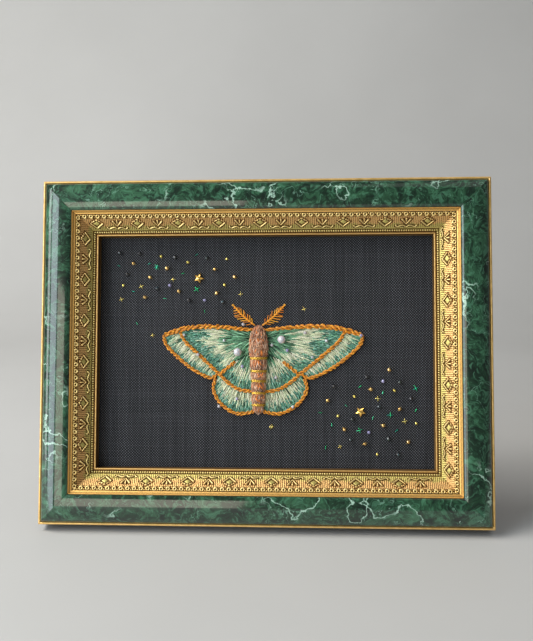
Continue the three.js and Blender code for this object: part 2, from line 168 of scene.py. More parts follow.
def grid_faces(rows, columns, close_rows=False, close_columns=False):
    """Four-cornered faces of a grid of points numbered row by row, which may close on itself either way."""
    i = np.arange(rows if close_rows else rows - 1)
    j = np.arange(columns if close_columns else columns - 1)
    i, j = (a.ravel() for a in np.meshgrid(i, j, indexing="ij"))
    below, beside = (i + 1) % rows, (j + 1) % columns
    return np.stack([i * columns + j, below * columns + j, below * columns + beside, i * columns + beside], -1)


def triangle_count(piece):
    """Triangles of a piece's mesh, before its modifiers."""
    piece.data.calc_loop_triangles()
    return len(piece.data.loop_triangles)


# %% [markdown]
# Materials are node trees. Written out socket by socket they are long, so a small helper joins them: it makes a
# node, sets its plain values and links whatever is handed to it as another node's output.

# %% Node trees in short
class Finish:
    """A material on one Principled shader, with its nodes made by short calls."""

    def __init__(self, name):
        self.material = bpy.data.materials.new(name)
        self.material.use_nodes = True
        self.tree = self.material.node_tree
        self.shader = self.tree.nodes["Principled BSDF"]

    def node(self, kind, inputs=(), **settings):
        """A node with its settings made, and each input either set or linked."""
        node = self.tree.nodes.new(kind)
        for key, value in settings.items():
            setattr(node, key, value)
        for key, value in dict(inputs).items():
            self.feed(node.inputs[key], value)
        return node

    def feed(self, socket, value):
        """Links a socket to another node's output, or gives it a plain value."""
        if isinstance(value, bpy.types.NodeSocket):
            self.tree.links.new(value, socket)
        else:
            socket.default_value = value

    def math(self, operation, a, b=0.0, c=0.0):
        """One step of arithmetic on one, two or three values."""
        return self.node("ShaderNodeMath", {0: a, 1: b, 2: c}, operation=operation).outputs[0]

    def attribute(self, name, output="Fac"):
        """A value painted on the points of the piece."""
        return self.node("ShaderNodeAttribute", attribute_name=name).outputs[output]

    def place(self):
        """Where a point of the surface is, in metres."""
        return self.node("ShaderNodeTexCoord").outputs["Object"]

    def stretched(self, *scale):
        """The place with each direction scaled, so that a noise read there is long where the scale is small."""
        return self.node("ShaderNodeMapping", {"Vector": self.place(), "Scale": scale}).outputs[0]

    def scaled(self, vector, factor):
        """A vector times a plain number."""
        return self.node("ShaderNodeVectorMath", {0: vector, 1: (factor,) * 3}, operation="MULTIPLY").outputs[0]

    def shifted(self, vector, by, amount):
        """A vector plus an amount of another, which bends a pattern read at the sum."""
        inputs = {0: vector, 1: self.scaled(by, amount)}
        return self.node("ShaderNodeVectorMath", inputs, operation="ADD").outputs[0]

    def noise(self, scale, detail=4.0, rough=0.55, distortion=0.0, vector=None, output="Fac"):
        """A noise with scale features to the metre, read at the place unless another vector is given."""
        inputs = {"Scale": scale, "Detail": detail, "Roughness": rough, "Distortion": distortion}
        inputs["Vector"] = self.place() if vector is None else vector
        return self.node("ShaderNodeTexNoise", inputs).outputs[output]

    def uneven(self, base, span, scale, detail):
        """A base value plus a noise times a span, for roughness and worn edges."""
        return self.math("MULTIPLY_ADD", self.noise(scale, detail), span, base)

    def ramp(self, value, stops):
        """A colour that runs through the stops, each a place between 0 and 1 with its colour."""
        node = self.node("ShaderNodeValToRGB", {0: value})
        elements = node.color_ramp.elements
        while len(elements) < len(stops):
            elements.new(0.5)
        for element, (at, colour) in zip(elements, stops):
            element.position = at
            element.color = (*colour, 1)
        return node.outputs["Color"]

    def level(self, value, low, high, to_low=0.0, to_high=1.0):
        """A value read as a share between two levels, clamped, and spread over a new range."""
        inputs = {0: value, 1: low, 2: high, 3: to_low, 4: to_high}
        return self.node("ShaderNodeMapRange", inputs, interpolation_type="SMOOTHSTEP").outputs[0]

    def mix(self, share, a, b, how="MIX"):
        """A colour that is a where the share is 0 and b where it is 1."""
        node = self.node("ShaderNodeMix", data_type="RGBA", blend_type=how)
        for socket, value in ((node.inputs[0], share), (node.inputs[6], a), (node.inputs[7], b)):
            if not isinstance(value, (bpy.types.NodeSocket, float, int)):
                value = (*value, 1)
            self.feed(socket, value)
        return node.outputs[2]

    def bump(self, height, strength, distance, normal=None):
        """A normal bent by a height; the distance is how many metres a height of 1 stands up."""
        inputs = {"Height": height, "Strength": strength, "Distance": distance}
        if normal is not None:
            inputs["Normal"] = normal
        return self.node("ShaderNodeBump", inputs).outputs["Normal"]

    def set(self, **values):
        """Sets sockets of the shader: underscores stand for spaces, so Coat_Weight=1 sets Coat Weight."""
        for key, value in values.items():
            socket = self.shader.inputs[key.replace("_", " ")]
            if isinstance(value, tuple) and len(value) == 3 and socket.type == "RGBA":
                value = (*value, 1)
            self.feed(socket, value)
        return self.material


# %% [markdown]
# Verde marble paint: a deep green ground, clouded with a lighter green that is pulled about by a second noise,
# then thin pale veins. A vein is where a broad noise passes through its middle value, so it runs on and on like
# a coastline, and a finer noise makes it crinkle. Two masks break it up, because the painter left large areas
# plain. A gloss coat lies over all of it.

# %% Marbled lacquer
def marble_paint():
    """Clouds and streaks at places bent by a slow noise, veins where a noise crosses a half at crinkled places."""
    f = Finish("marble_paint")
    place = f.place()
    drift = f.noise(55, 3, vector=place, output="Color")
    crinkle = f.noise(420, 4, 0.65, vector=place, output="Color")
    bent = f.shifted(place, drift, 0.022)
    veined = f.shifted(bent, crinkle, 0.0042)

    clouds = f.noise(95, 6, 0.62, 0.6, vector=bent)
    streaks = f.noise(310, 5, 0.6, 1.2, vector=bent)
    greens = [(0.36, (0.002, 0.012, 0.006)), (0.5, (0.009, 0.043, 0.019)), (0.65, (0.038, 0.132, 0.066))]
    ground = f.ramp(clouds, greens)
    ground = f.mix(f.level(streaks, 0.5, 0.64, 0, 0.55), ground, (0.070, 0.215, 0.125))
    ground = f.mix(f.level(streaks, 0.47, 0.37, 0, 0.75), ground, (0.001, 0.010, 0.005))

    def vein(scale, width, mask_scale, mask_low, mask_high):
        """1 along the line where a noise is a half, falling to 0 at width from it, and only inside the mask."""
        line = f.noise(scale, 2.5, 0.5, vector=veined)
        off = f.math("ABSOLUTE", f.math("SUBTRACT", line, 0.5))
        sharp = f.level(off, width, width * 0.25)
        mask = f.level(f.noise(mask_scale, 2, vector=place), mask_low, mask_high)
        return f.math("MULTIPLY", sharp, mask)

    main = vein(38, 0.0095, 30, 0.49, 0.57)
    fine = vein(95, 0.0085, 52, 0.50, 0.58)
    paint = f.mix(f.math("MULTIPLY", fine, 0.6), ground, (0.22, 0.44, 0.32))
    paint = f.mix(f.math("MULTIPLY", main, 0.85), paint, (0.42, 0.65, 0.52))
    ripple = f.bump(f.noise(160, 2, vector=place), 0.05, 0.0005)
    f.set(Base_Color=paint, Roughness=0.34, Normal=ripple, Specular_IOR_Level=0.2)
    return f.set(Coat_Weight=1.0, Coat_Roughness=0.07, Coat_IOR=1.62)


# %% [markdown]
# Gilding over pressed composition. The metal is one shader, but its colour changes across the band, as on the
# real frame: greenish gold next to the picture, rose gold on the outer half, bright gold on the row of eyelets
# and a deep orange gold in the plain cove. The points carry how far out they lie and how high they stand, so
# the hollows keep a brown glaze that is also painted shade, and the tops a rubbed gold that is also a painted
# highlight.

# %% Gilding
GREEN_GOLD = (0.56, 0.47, 0.15)
ROSE_GOLD = (0.72, 0.44, 0.17)
BRIGHT_GOLD = (0.94, 0.68, 0.25)
ORANGE_GOLD = (0.88, 0.53, 0.16)
FILLET_GOLD = (0.66, 0.40, 0.14)
RUBBED_GOLD_AND_HIGHLIGHT = (0.96, 0.74, 0.32)
GLAZE_AND_SHADE = (0.13, 0.06, 0.014)


def gilding():
    """Golds mixed one over the other by how far out a point lies, then rubbed tops with a painted highlight,
    glazed hollows with painted shade, and specks.
    """
    f = Finish("gilding")
    out, relief = f.attribute("out_mm"), f.attribute("relief")
    wander = f.uneven(-0.25, 0.5, 600, 3)
    gold = f.mix(f.level(f.math("ADD", f.attribute("green"), wander), 0.15, 0.85), ROSE_GOLD, GREEN_GOLD)
    gold = f.mix(f.level(out, 8.1, 8.45), gold, BRIGHT_GOLD)
    gold = f.mix(f.level(out, 10.05, 10.3), gold, ORANGE_GOLD)
    gold = f.mix(f.level(out, 1.45, 1.05), gold, FILLET_GOLD)
    # Tops are painted lighter: rubbed gold, and also a painted highlight.
    rubbed_and_highlit = f.level(f.math("ADD", relief, f.uneven(-0.15, 0.3, 900, 4)), 0.28, 0.8)
    gold = f.mix(rubbed_and_highlit, gold, RUBBED_GOLD_AND_HIGHLIGHT)
    # Hollows are painted darker: a brown glaze, and also painted shade.
    hollow = f.level(relief, 0.02, -0.25)
    gold = f.mix(hollow, gold, GLAZE_AND_SHADE)
    specks = f.level(f.noise(2600, 3, 0.7), 0.56, 0.68, 0, 0.35)
    gold = f.mix(specks, gold, (0.28, 0.14, 0.04))
    rough = f.math("ADD", f.uneven(0.3, 0.3, 1500, 4), f.math("MULTIPLY", hollow, 0.25))
    normal = f.bump(f.noise(3200, 4, 0.7), 0.35, 0.0002)
    return f.set(Base_Color=gold, Metallic=0.8, Roughness=rough, Normal=normal)


def lip_gilding():
    """Gold that wanders from orange to pale, with worn places where the brown ground shows."""
    f = Finish("lip_gilding")
    golds = [(0.3, (0.70, 0.42, 0.12)), (0.6, (0.92, 0.60, 0.22)), (0.8, (0.97, 0.70, 0.33))]
    gold = f.ramp(f.noise(240, 5, 0.6), golds)
    worn = f.level(f.noise(900, 5, 0.7), 0.64, 0.74, 0, 0.4)
    gold = f.mix(worn, gold, (0.22, 0.11, 0.03))
    rough = f.uneven(0.2, 0.25, 1200, 4)
    return f.set(Base_Color=gold, Metallic=0.55, Roughness=rough, Normal=f.bump(f.noise(2500, 3), 0.2, 0.0002))


def dark_wood(name, light, dark, gloss):
    """Stained wood: rings stretched along X, with pores."""
    f = Finish(name)
    long_way = f.stretched(0.12, 1.0, 1.0)
    grain = f.noise(520, 6, 0.65, 0.8, vector=long_way)
    pores = f.noise(2600, 3, 0.7, vector=long_way)
    colour = f.ramp(grain, [(0.3, dark), (0.7, light)])
    colour = f.mix(f.level(pores, 0.56, 0.66, 0, 0.6), colour, dark)
    return f.set(Base_Color=colour, Roughness=gloss, Normal=f.bump(pores, 0.3, 0.0002))


MARBLE = marble_paint()
GILT = gilding()
LIP_GILT = lip_gilding()
SIDE_WOOD = dark_wood("side_wood", (0.030, 0.021, 0.015), (0.012, 0.008, 0.006), 0.42)
BACK_WOOD = dark_wood("back_wood", (0.42, 0.29, 0.17), (0.24, 0.15, 0.08), 0.7)
print("finishes:", [m.name for m in bpy.data.materials])

# %% [markdown]
# The moulding is a length of shaped wood cut at 45 degrees. Its section is a closed outline, distance out from
# the sight edge against level, and a mitred side is that outline carried from one end to the other, where each
# point runs as far as its own distance out. So the whole side is one formula: x = share times (half the opening
# plus the distance out), y = half the opening the other way plus the distance out, z = the level. The cushion is
# flat enough near its crest to carry a broad band of the window's light, and rolls over at its inner edge.

# %% The mitred moulding
HALF_WIDTH, HALF_HEIGHT = 165.1 / 2, 114.3 / 2
MITRE_RELIEF = 0.06
LINER_OUT, RAIL_IN, RAIL_OUT, REBATE_OUT = 11.7, 11.9, 27.0, 6.35
BACK_LEVEL, LINER_UNDER = -12.0, -4.0
SIDES = (
    ("top", HALF_WIDTH, HALF_HEIGHT, 0, -1.8),
    ("left", HALF_HEIGHT, HALF_WIDTH, 90, -5.2),
    ("bottom", HALF_WIDTH, HALF_HEIGHT, 180, -3.9),
    ("right", HALF_HEIGHT, HALF_WIDTH, -90, -4.2),
)


def side_points(section, shares, half_along, half_across, quarter_turn):
    """Grid of a mitred side, (steps along, points of the section), laid out for the top and turned to its side."""
    out, level = section[:, 0], section[:, 1]
    reach = half_along + out - MITRE_RELIEF
    x = shares[:, None] * reach[None, :]
    y = np.broadcast_to(half_across + out, x.shape)
    z = np.broadcast_to(level, x.shape)
    return spun(np.stack([x, y, z], -1), quarter_turn)


def spun(points, degrees):
    """Turns the picture's points about its middle, in its own plane."""
    c, s = math.cos(math.radians(degrees)), math.sin(math.radians(degrees))
    x, y = points[..., 0], points[..., 1]
    return np.stack([x * c - y * s, x * s + y * c, points[..., 2]], -1)


def ellipse_arc(middle, radii, from_degrees, to_degrees, count):
    """Points of an ellipse's arc, in order from one angle to the other."""
    a = np.radians(np.linspace(from_degrees, to_degrees, count))
    return np.stack([middle[0] + radii[0] * np.cos(a), middle[1] + radii[1] * np.sin(a)], -1)


def loft_faces(rows, columns, inside_out=False):
    """Faces of a closed loft: walls between rows that close on themselves, and one flat face at either end."""
    ring = np.arange(columns)
    faces = [grid_faces(rows, columns, close_columns=True), ring[None, :], (rows - 1) * columns + ring[None, ::-1]]
    return [f[:, ::-1] for f in faces] if inside_out else faces


CREST_OUT, CREST_LEVEL, CUSHION_FOOT, INNER_ROUND = 17.0, 9.6, 5.2, 19.0
EDGE_MIDDLE, EDGE_ROUND = (14.145, CREST_LEVEL - 3.583), 3.32
LIP_LEVEL, LIP_RADIUS, BACK_CHAMFER = 4.9, 0.6, 0.6
LEDGE_LEVEL = LINER_UNDER - 0.3
ON_MARBLE, ON_LIP, ON_SIDE, ON_BACK = range(4)
rail_parts = [
    (ON_SIDE, [[REBATE_OUT, BACK_LEVEL], [RAIL_OUT - BACK_CHAMFER, BACK_LEVEL]]),
    (ON_SIDE, [[RAIL_OUT, BACK_LEVEL + BACK_CHAMFER]]),
    (ON_LIP, [[RAIL_OUT, 4.2]]),
    (ON_LIP, ellipse_arc((RAIL_OUT - LIP_RADIUS, LIP_LEVEL), (LIP_RADIUS, LIP_RADIUS), 0, 175, 13)),
    (ON_MARBLE, [[25.72, 4.6], [25.6, 4.65]]),
    (ON_MARBLE, ellipse_arc((CREST_OUT, CUSHION_FOOT), (8.55, CREST_LEVEL - CUSHION_FOOT), 2, 90, 30)),
    (ON_MARBLE, ellipse_arc((CREST_OUT, CREST_LEVEL - INNER_ROUND), (INNER_ROUND, INNER_ROUND), 90.8, 100.0, 9)),
    (ON_MARBLE, ellipse_arc(EDGE_MIDDLE, (EDGE_ROUND, EDGE_ROUND), 100.9, 128, 12)),
    (ON_SIDE, [[11.99, CREST_LEVEL - 1.1], [11.93, 8.4], [RAIL_IN, 8.2]]),
    (ON_SIDE, [[RAIL_IN, LEDGE_LEVEL], [REBATE_OUT, LEDGE_LEVEL]]),
]
rail_section = np.concatenate([points for _, points in rail_parts])
rail_finish = np.concatenate([np.full(len(points), finish) for finish, points in rail_parts])
for name, along, across, turn, _ in SIDES:
    steps = 9
    grid = side_points(rail_section, np.linspace(-1, 1, steps), along, across, turn)
    columns = len(rail_section)
    piece = fill_mesh(
        f"moulding_{name}", leant(grid.reshape(-1, 3)), loft_faces(steps, columns, inside_out=True),
        [MARBLE, LIP_GILT, SIDE_WOOD, BACK_WOOD], sharp=32,
    )
    wall_column = np.tile(np.arange(columns), steps - 1)
    at_back = np.isin(wall_column, [0, columns - 1, columns - 2])
    finishes = np.where(at_back, ON_BACK, rail_finish[wall_column])
    finishes = np.concatenate([finishes, [ON_BACK, ON_BACK]]).astype(np.int32)
    piece.data.polygons.foreach_set("material_index", finishes)
    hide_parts(f"rail_{name}")
print("a rail has", columns, "points in its section and", triangle_count(piece), "triangles")

# %% [markdown]
# The gilt liner is the inner moulding. Its face carries pressed ornament: a smooth fillet at the picture, a row
# of small pearls, a ribbed slope with lozenges and, between them, a trefoil over a brace, then a row of eyelets
# and a plain cove. All of that is one height laid on a profile. The profile is a line of points, close together,
# and the height is a function of the distance along the side and the distance up the slope. A pearl is a dome,
# a stem is a half-round rod between two points, an eyelet is a ring with its hole pressed in.

# %% The profile of the gilt liner
STEP_ALONG = 0.18
PEARL_PITCH, EYELET_PITCH, RIB_PITCH, MOTIF_PITCH = 1.14, 3.28, 0.9, 20.3
SLOPE_FOOT, SLOPE_HEAD, SLOPE_RUN = np.array([2.68, 2.0]), np.array([8.25, 5.75]), 7.39
RING_FOOT, RING_HEAD = np.array([8.35, 6.05]), np.array([10.0, 6.55])


def leftward(directions):
    """Flat directions (..., 2) turned a quarter to the left: (x, y) becomes (-y, x)."""
    return np.stack([-directions[..., 1], directions[..., 0]], -1)


def distance_along(lines):
    """How far each point lies along its line, as the running sum of the gaps between points."""
    gaps = np.linalg.norm(np.diff(lines, axis=-2), axis=-1)
    return np.concatenate([np.zeros((*gaps.shape[:-1], 1)), np.cumsum(gaps, -1)], -1)


def evenly(points, spacing):
    """The same line with its points evenly spaced, no further apart than spacing."""
    points = np.asarray(points, float)
    run = distance_along(points)
    count = max(2, int(math.ceil(run[-1] / spacing)) + 1)
    at = np.linspace(0, run[-1], count)
    return np.stack([np.interp(at, run, points[:, k]) for k in range(points.shape[1])], -1)


fillet = [[0, 0.7], [0.04, 0.98], [0.16, 1.15], [0.36, 1.22], [0.62, 1.2], [0.84, 1.08], [0.97, 0.88], [1.1, 0.78]]
cove = [[10.06, 6.8], [10.13, 7.1], [10.28, 7.24], [10.5, 7.3], [10.75, 7.38], [11.0, 7.52], [11.22, 7.7],
        [11.42, 7.92], [11.58, 8.15], [LINER_OUT, 8.32]]
profile_parts = {
    "fillet": evenly(fillet, 0.2), "pearls": evenly([[1.34, 0.82], [2.56, 1.5]], 0.13),
    "slope": evenly([SLOPE_FOOT, SLOPE_HEAD], 0.165), "eyelets": evenly([RING_FOOT, RING_HEAD], 0.135),
    "cove": evenly(cove, 0.2),
}
profile = np.concatenate(list(profile_parts.values()))
part_of = [part for part, points in profile_parts.items() for _ in points]
profile_normal = leftward(np.gradient(profile, axis=0))
profile_normal /= np.linalg.norm(profile_normal, axis=1, keepdims=True)
print("the profile has", len(profile), "rows")

# %% [markdown]
# The shapes of the ornament, each as a height over the flat. Here s runs along the side, v up the slope and w
# across the row of eyelets, all in millimetres.

# %% Shapes pressed in the ornament
PILLOW_AT = 4.0
EVERYWHERE, FAR_OFF = 1e3, 99.0


def dome(distance, radius, height):
    """A dome: height times the square root of 1 - (distance / radius) squared, and nothing outside it."""
    return height * np.sqrt(np.clip(1 - (distance / radius) ** 2, 0, 1))


def rod(s, v, start, end, thin, thick, height):
    """A half-round rod from start to end, which widens from thin to thick; its dome is across the rod."""
    (ax, ay), (bx, by) = start, end
    t = np.clip(((s - ax) * (bx - ax) + (v - ay) * (by - ay)) / ((bx - ax) ** 2 + (by - ay) ** 2), 0, 1)
    distance = np.hypot(s - ax - t * (bx - ax), v - ay - t * (by - ay))
    radius = thin + (thick - thin) * t
    return dome(distance, radius, height * (0.75 + 0.25 * radius / thick))


def lozenge(s, v):
    """A strong V of two rods that points at the picture, closed by steps on its far side, with a pillow in it."""
    a = np.abs(s)
    pillow = 0.42 * np.clip(1 - (a / 2.45 + np.abs(v - PILLOW_AT) / 2.2) ** 3, 0, 1)
    shapes = [
        pillow,
        rod(a, v, (0, 1.75), (2.9, 4.35), 0.52, 0.42, 0.95),
        dome(np.hypot(a - 2.2, (v - 5.15) * 1.2), 0.42, 0.6),
        rod(a, v, (1.2, 5.75), (1.5, 5.5), 0.42, 0.4, 0.8),
        rod(s, v, (-0.25, 6.4), (0.25, 6.4), 0.5, 0.5, 0.85),
    ]
    return np.maximum.reduce(shapes)


def trefoil(s, v):
    """Three short petals that spread outward from one point, the outer two longer."""
    a = np.abs(s)
    pair = rod(a, v, (0.1, 3.0), (2.0, 5.4), 0.34, 0.52, 0.9)
    return np.maximum(pair, rod(s, v, (0, 4.1), (0, 5.7), 0.3, 0.5, 0.8))


def brace(s, v):
    """A bracket lying under the trefoil: two S-shaped halves that turn up at their ends."""
    a = np.abs(s)
    bends = [(0.3, 1.15), (0.9, 1.75), (1.7, 2.05), (2.5, 1.9), (3.3, 1.5), (4.0, 1.15), (4.6, 1.3), (4.95, 1.75)]
    parts = [rod(a, v, p, q, 0.38, 0.38, 0.72) for p, q in zip(bends[:-1], bends[1:])]
    return np.maximum.reduce(parts + [dome(np.hypot(a - 5.0, v - 1.9), 0.44, 0.7)])


def repeated(s, pitch, phase, reach):
    """Distance along from the nearest place of a row with that pitch, made far away where the row has ended."""
    place = np.round((s - phase) / pitch) * pitch + phase
    return np.where(np.abs(place) <= reach, s - place, FAR_OFF)


def green_share(s, row, v, phase, reach):
    """Where the gold is the greener one: the half of the band next to the picture, and each lozenge's pillow."""
    near = repeated(s, MOTIF_PITCH, phase, reach)
    pillow = np.clip(2.2 - 2.2 * (np.abs(near) / 2.5 + np.abs(v - PILLOW_AT) / 2.3), 0, 1)
    pillow *= part_of[row] == "slope"
    edge = 4.9 + 0.35 * np.sin(s * 0.9) + 0.2 * np.sin(s * 2.7 + 1)
    return np.maximum(pillow, np.clip((edge - profile[row, 0]) / 1.6 + 0.5, 0, 1))


def band_height(s, row, v, w, phase, reach):
    """Height of the ornament at the distance s along a side, for a row of the profile."""
    wander = 0.012 * np.sin(s * 2.3 + row) + 0.01 * np.sin(s * 5.1 - row * 0.7)
    if part_of[row] == "pearls":
        along = repeated(s, PEARL_PITCH, 0, EVERYWHERE)
        return dome(np.hypot(along, (profile[row, 0] - 1.95) * 1.12), 0.54, 0.56)
    if part_of[row] == "slope":
        ribs = 0.15 * (0.5 + 0.5 * np.cos(2 * np.pi * s / RIB_PITCH)) * np.clip((7.3 - v) * (v - 0.1), 0, 1)
        near = repeated(s, MOTIF_PITCH, phase, reach)
        between = repeated(s, MOTIF_PITCH, phase + MOTIF_PITCH / 2, reach)
        return np.maximum.reduce([ribs, lozenge(near, v), trefoil(between, v), brace(between, v)]) + wander
    if part_of[row] == "eyelets":
        near = repeated(s, EYELET_PITCH, 0, EVERYWHERE)
        between = repeated(s, EYELET_PITCH, EYELET_PITCH / 2, EVERYWHERE)
        away = np.hypot(near, w - 0.82)
        ring = dome(away - 0.74, 0.42, 0.82) - 0.45 * (away < 0.36)
        dots = dome(np.hypot(between, w - 1.3), 0.46, 0.55)
        return np.maximum(np.maximum(ring, dots), dome(w - 1.62, 0.3, 0.3))
    return wander * 0.4


# %% [markdown]
# Each side's liner is the profile carried along the mitre with that height added square to the profile. How far
# a point stands above its surroundings is kept as well: it is the height less its own moving average, so it is
# negative in the hollows, where a gilder's glaze and painted shade go, and positive on the tops, where the gold
# is rubbed and a painted highlight goes.

# %% The gilt liner
def moving_average(values, half, axis):
    """Mean over 2 half + 1 neighbours along an axis, with the ends held."""
    pad = [(0, 0)] * values.ndim
    pad[axis] = (half + 1, half)
    total = np.cumsum(np.pad(values, pad, mode="edge"), axis=axis)
    n, window = values.shape[axis], 2 * half + 1
    return (np.take(total, range(window, n + window), axis) - np.take(total, range(n), axis)) / window


up_slope = SLOPE_HEAD - SLOPE_FOOT
slope_run = (profile - SLOPE_FOOT) @ up_slope / np.sum(up_slope ** 2) * SLOPE_RUN
ring_run = (profile - RING_FOOT) @ (RING_HEAD - RING_FOOT) / np.linalg.norm(RING_HEAD - RING_FOOT)
for name, along, across, turn, phase in SIDES:
    steps = int(2 * (along + 8) / STEP_ALONG)
    shares = np.linspace(-1, 1, steps)
    s = shares[:, None] * (along + profile[None, :, 0])
    reach, rows = along + 1.5, range(len(profile))
    heights = np.stack([band_height(s[:, k], k, slope_run[k], ring_run[k], phase, reach) for k in rows], -1)
    green = np.stack([green_share(s[:, k], k, slope_run[k], phase, reach) for k in rows], -1)
    out = np.clip(profile[:, 0] + profile_normal[:, 0] * heights, 0, LINER_OUT)
    level = profile[:, 1] + profile_normal[:, 1] * heights
    relief = (level - moving_average(moving_average(level, 4, 0), 3, 1)) / 0.3
    at_back = ((out, (LINER_OUT, 0)), (level, (LINER_UNDER, LINER_UNDER)), (relief, (0, 0)), (green, (0, 0)))
    out, level, relief, green = (
        np.concatenate([values, np.broadcast_to(corners, (steps, 2))], 1) for values, corners in at_back
    )
    x = shares[:, None] * (along + out - MITRE_RELIEF)
    grid = spun(np.stack([x, across + out, level], -1), turn)
    faces = loft_faces(steps, grid.shape[1])
    piece = fill_mesh(f"gilt_liner_{name}", leant(grid.reshape(-1, 3)), faces, [GILT])
    for label, values in (("out_mm", out), ("relief", relief), ("green", green)):
        paint_points(piece, label, values.ravel())
    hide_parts(f"liner_{name}")
    print(piece.name, triangle_count(piece), "triangles")

# %% [markdown]
# The cloth is a closely woven black cotton, drawn tight over a card and turned round its edges. It is one sheet:
# a rectangle whose margin bends back over the card's edge on a small radius. Its own coordinates count
# millimetres, and the weave is worked out from them: a warp thread stands up where the weft goes under it.

# %% Cloth weave
WEAVE_PITCH = 0.66


def plain_weave():
    """Each thread's height is a half-round across it times a wave along it, opposite to its neighbour's."""
    f = Finish("plain_weave")
    weave_map = f.node("ShaderNodeUVMap", uv_map="cloth_mm").outputs[0]
    wander = f.noise(0.07, 2, vector=weave_map, output="Color")
    across = f.scaled(f.shifted(weave_map, wander, 1.5), 1 / WEAVE_PITCH)
    parts = f.node("ShaderNodeSeparateXYZ", {0: across})
    a, b = parts.outputs[0], parts.outputs[1]

    def thread(along, beside, sign):
        """Height of the threads that run along one way, and a slow noise that gives each thread its own tone."""
        number = f.math("FLOOR", beside)
        round_ = f.math("POWER", f.math("ABSOLUTE", f.math("SINE", f.math("MULTIPLY", beside, math.pi))), 0.7)
        wave = f.math("SINE", f.math("MULTIPLY", f.math("ADD", along, number), math.pi))
        lift = f.math("MULTIPLY_ADD", wave, 0.5 * sign, 0.5)
        line = f.node("ShaderNodeCombineXYZ", {0: number, 1: f.math("MULTIPLY", along, 0.02)}).outputs[0]
        slub = f.noise(0.37, 3, vector=line)
        return f.math("MULTIPLY", round_, lift), slub

    warp, warp_slub = thread(b, a, 1)
    weft, weft_slub = thread(a, b, -1)
    height = f.math("MAXIMUM", warp, weft)
    slub = f.mix(f.math("GREATER_THAN", warp, weft), weft_slub, warp_slub)
    fibre = f.noise(9, 3, 0.7, vector=weave_map)
    tone = f.math("MULTIPLY_ADD", f.math("SUBTRACT", slub, 0.5), 0.5, f.math("MULTIPLY_ADD", fibre, 0.3, -0.15))
    # The crowns of the threads are painted lighter as highlight, up to a pale blue-grey glint, and the gaps darker
    # as shade.
    tone = f.math("ADD", tone, f.level(height, 0.3, 0.9, 0.0, 0.6))
    # Warp crowns get a little more painted highlight.
    tone = f.math("ADD", tone, f.level(warp, 0.35, 0.85, -0.08, 0.3))
    blacks_and_painted_glints = [(0.15, (0.001, 0.001, 0.001)), (0.5, (0.006, 0.0065, 0.0085)), (0.95, (0.185, 0.193, 0.222))]
    colour = f.ramp(tone, blacks_and_painted_glints)
    dust = f.level(f.noise(160, 3), 0.5, 0.8, 0, 0.12)
    colour = f.mix(dust, colour, (0.03, 0.03, 0.036))
    fine = f.bump(fibre, 0.15, 0.0001)
    normal = f.bump(height, 0.75, 0.00022, fine)
    f.set(Base_Color=colour, Roughness=0.82, Normal=normal, Specular_IOR_Level=0.3)
    return f.set(Sheen_Weight=0.1, Sheen_Roughness=0.5, Sheen_Tint=(0.5, 0.55, 0.65))


CLOTH = plain_weave()

# %% [markdown]
# Across the sheet, the distance along the cloth runs flat to the card's edge, then round a quarter circle and
# then straight back. The two directions are worked alike, and at the corners the cloth is eased by drawing the
# turned part in a little, as a mitred corner fold does.

# %% The cloth sheet
FABRIC_HALF = np.array([88.35, 62.95])
FABRIC_FRONT, TURN_RADIUS, TURNED_BACK, CLOTH_THICK = -4.3, 0.8, 2.0, 0.42


def turned_edge(run, half):
    """Distance out and drop of a point that lies run millimetres along the cloth from its middle."""
    flat = half - TURN_RADIUS
    past = np.clip(np.abs(run) - flat, 0, None)
    angle = np.clip(past / TURN_RADIUS, 0, math.pi / 2)
    straight = np.clip(past - TURN_RADIUS * math.pi / 2, 0, None)
    out = np.minimum(np.abs(run), flat) + TURN_RADIUS * np.sin(angle)
    return np.sign(run) * out, TURN_RADIUS * (1 - np.cos(angle)) + straight


def run_line(half, spacing):
    """Places along the cloth: even over the flat, and close together where it bends."""
    flat = half - TURN_RADIUS
    bend = flat + np.linspace(0, TURN_RADIUS * math.pi / 2, 7)[1:]
    reach = bend[-1] + np.linspace(0, TURNED_BACK - TURN_RADIUS, 3)[1:]
    front = np.linspace(-flat, flat, int(2 * flat / spacing) + 1)
    return np.concatenate([-reach[::-1], -bend[::-1], front, bend, reach])


CLOTH_SPACING = 1.1
run_x, run_y = (run_line(half, CLOTH_SPACING) for half in FABRIC_HALF)
grid_x, grid_y = np.meshgrid(run_x, run_y, indexing="ij")
place_x, drop_x = turned_edge(grid_x, FABRIC_HALF[0])
place_y, drop_y = turned_edge(grid_y, FABRIC_HALF[1])
slack = np.sin(grid_x * 0.21 + 1.3) * np.sin(grid_y * 0.27) + 0.6 * np.sin(grid_x * 0.083 - grid_y * 0.11)
slack *= 0.035
puckered = np.exp(-((grid_x + 4) ** 2 / 50 ** 2 + (grid_y + 3) ** 2 / 24 ** 2) * 1.4)
slack = slack * (1 + 1.2 * puckered)
drop = np.maximum(drop_x, drop_y) + 0.12 * np.minimum(drop_x, drop_y)
cloth = np.stack([place_x, place_y, FABRIC_FRONT - 0.05 - drop + np.where(drop > 0, 0, slack)], -1)
faces = grid_faces(len(run_x), len(run_y))
fabric = fill_mesh("black_cloth", leant(cloth.reshape(-1, 3)), [faces], [CLOTH])
flat_runs = np.stack([grid_x, grid_y], -1).reshape(-1, 2)
cloth_map = fabric.data.uv_layers.new(name="cloth_mm")
cloth_map.data.foreach_set("uv", flat_runs[faces.ravel()].astype(np.float32).ravel())
thick = fabric.modifiers.new("thickness", "SOLIDIFY")
thick.thickness = CLOTH_THICK * MM
thick.offset = -1
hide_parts("fabric")
flat_size = [2 * run_x[-1] * MM, 2 * run_y[-1] * MM]
print("the cloth was cut to", np.round(flat_size, 4), "m, with", triangle_count(fabric), "triangles")

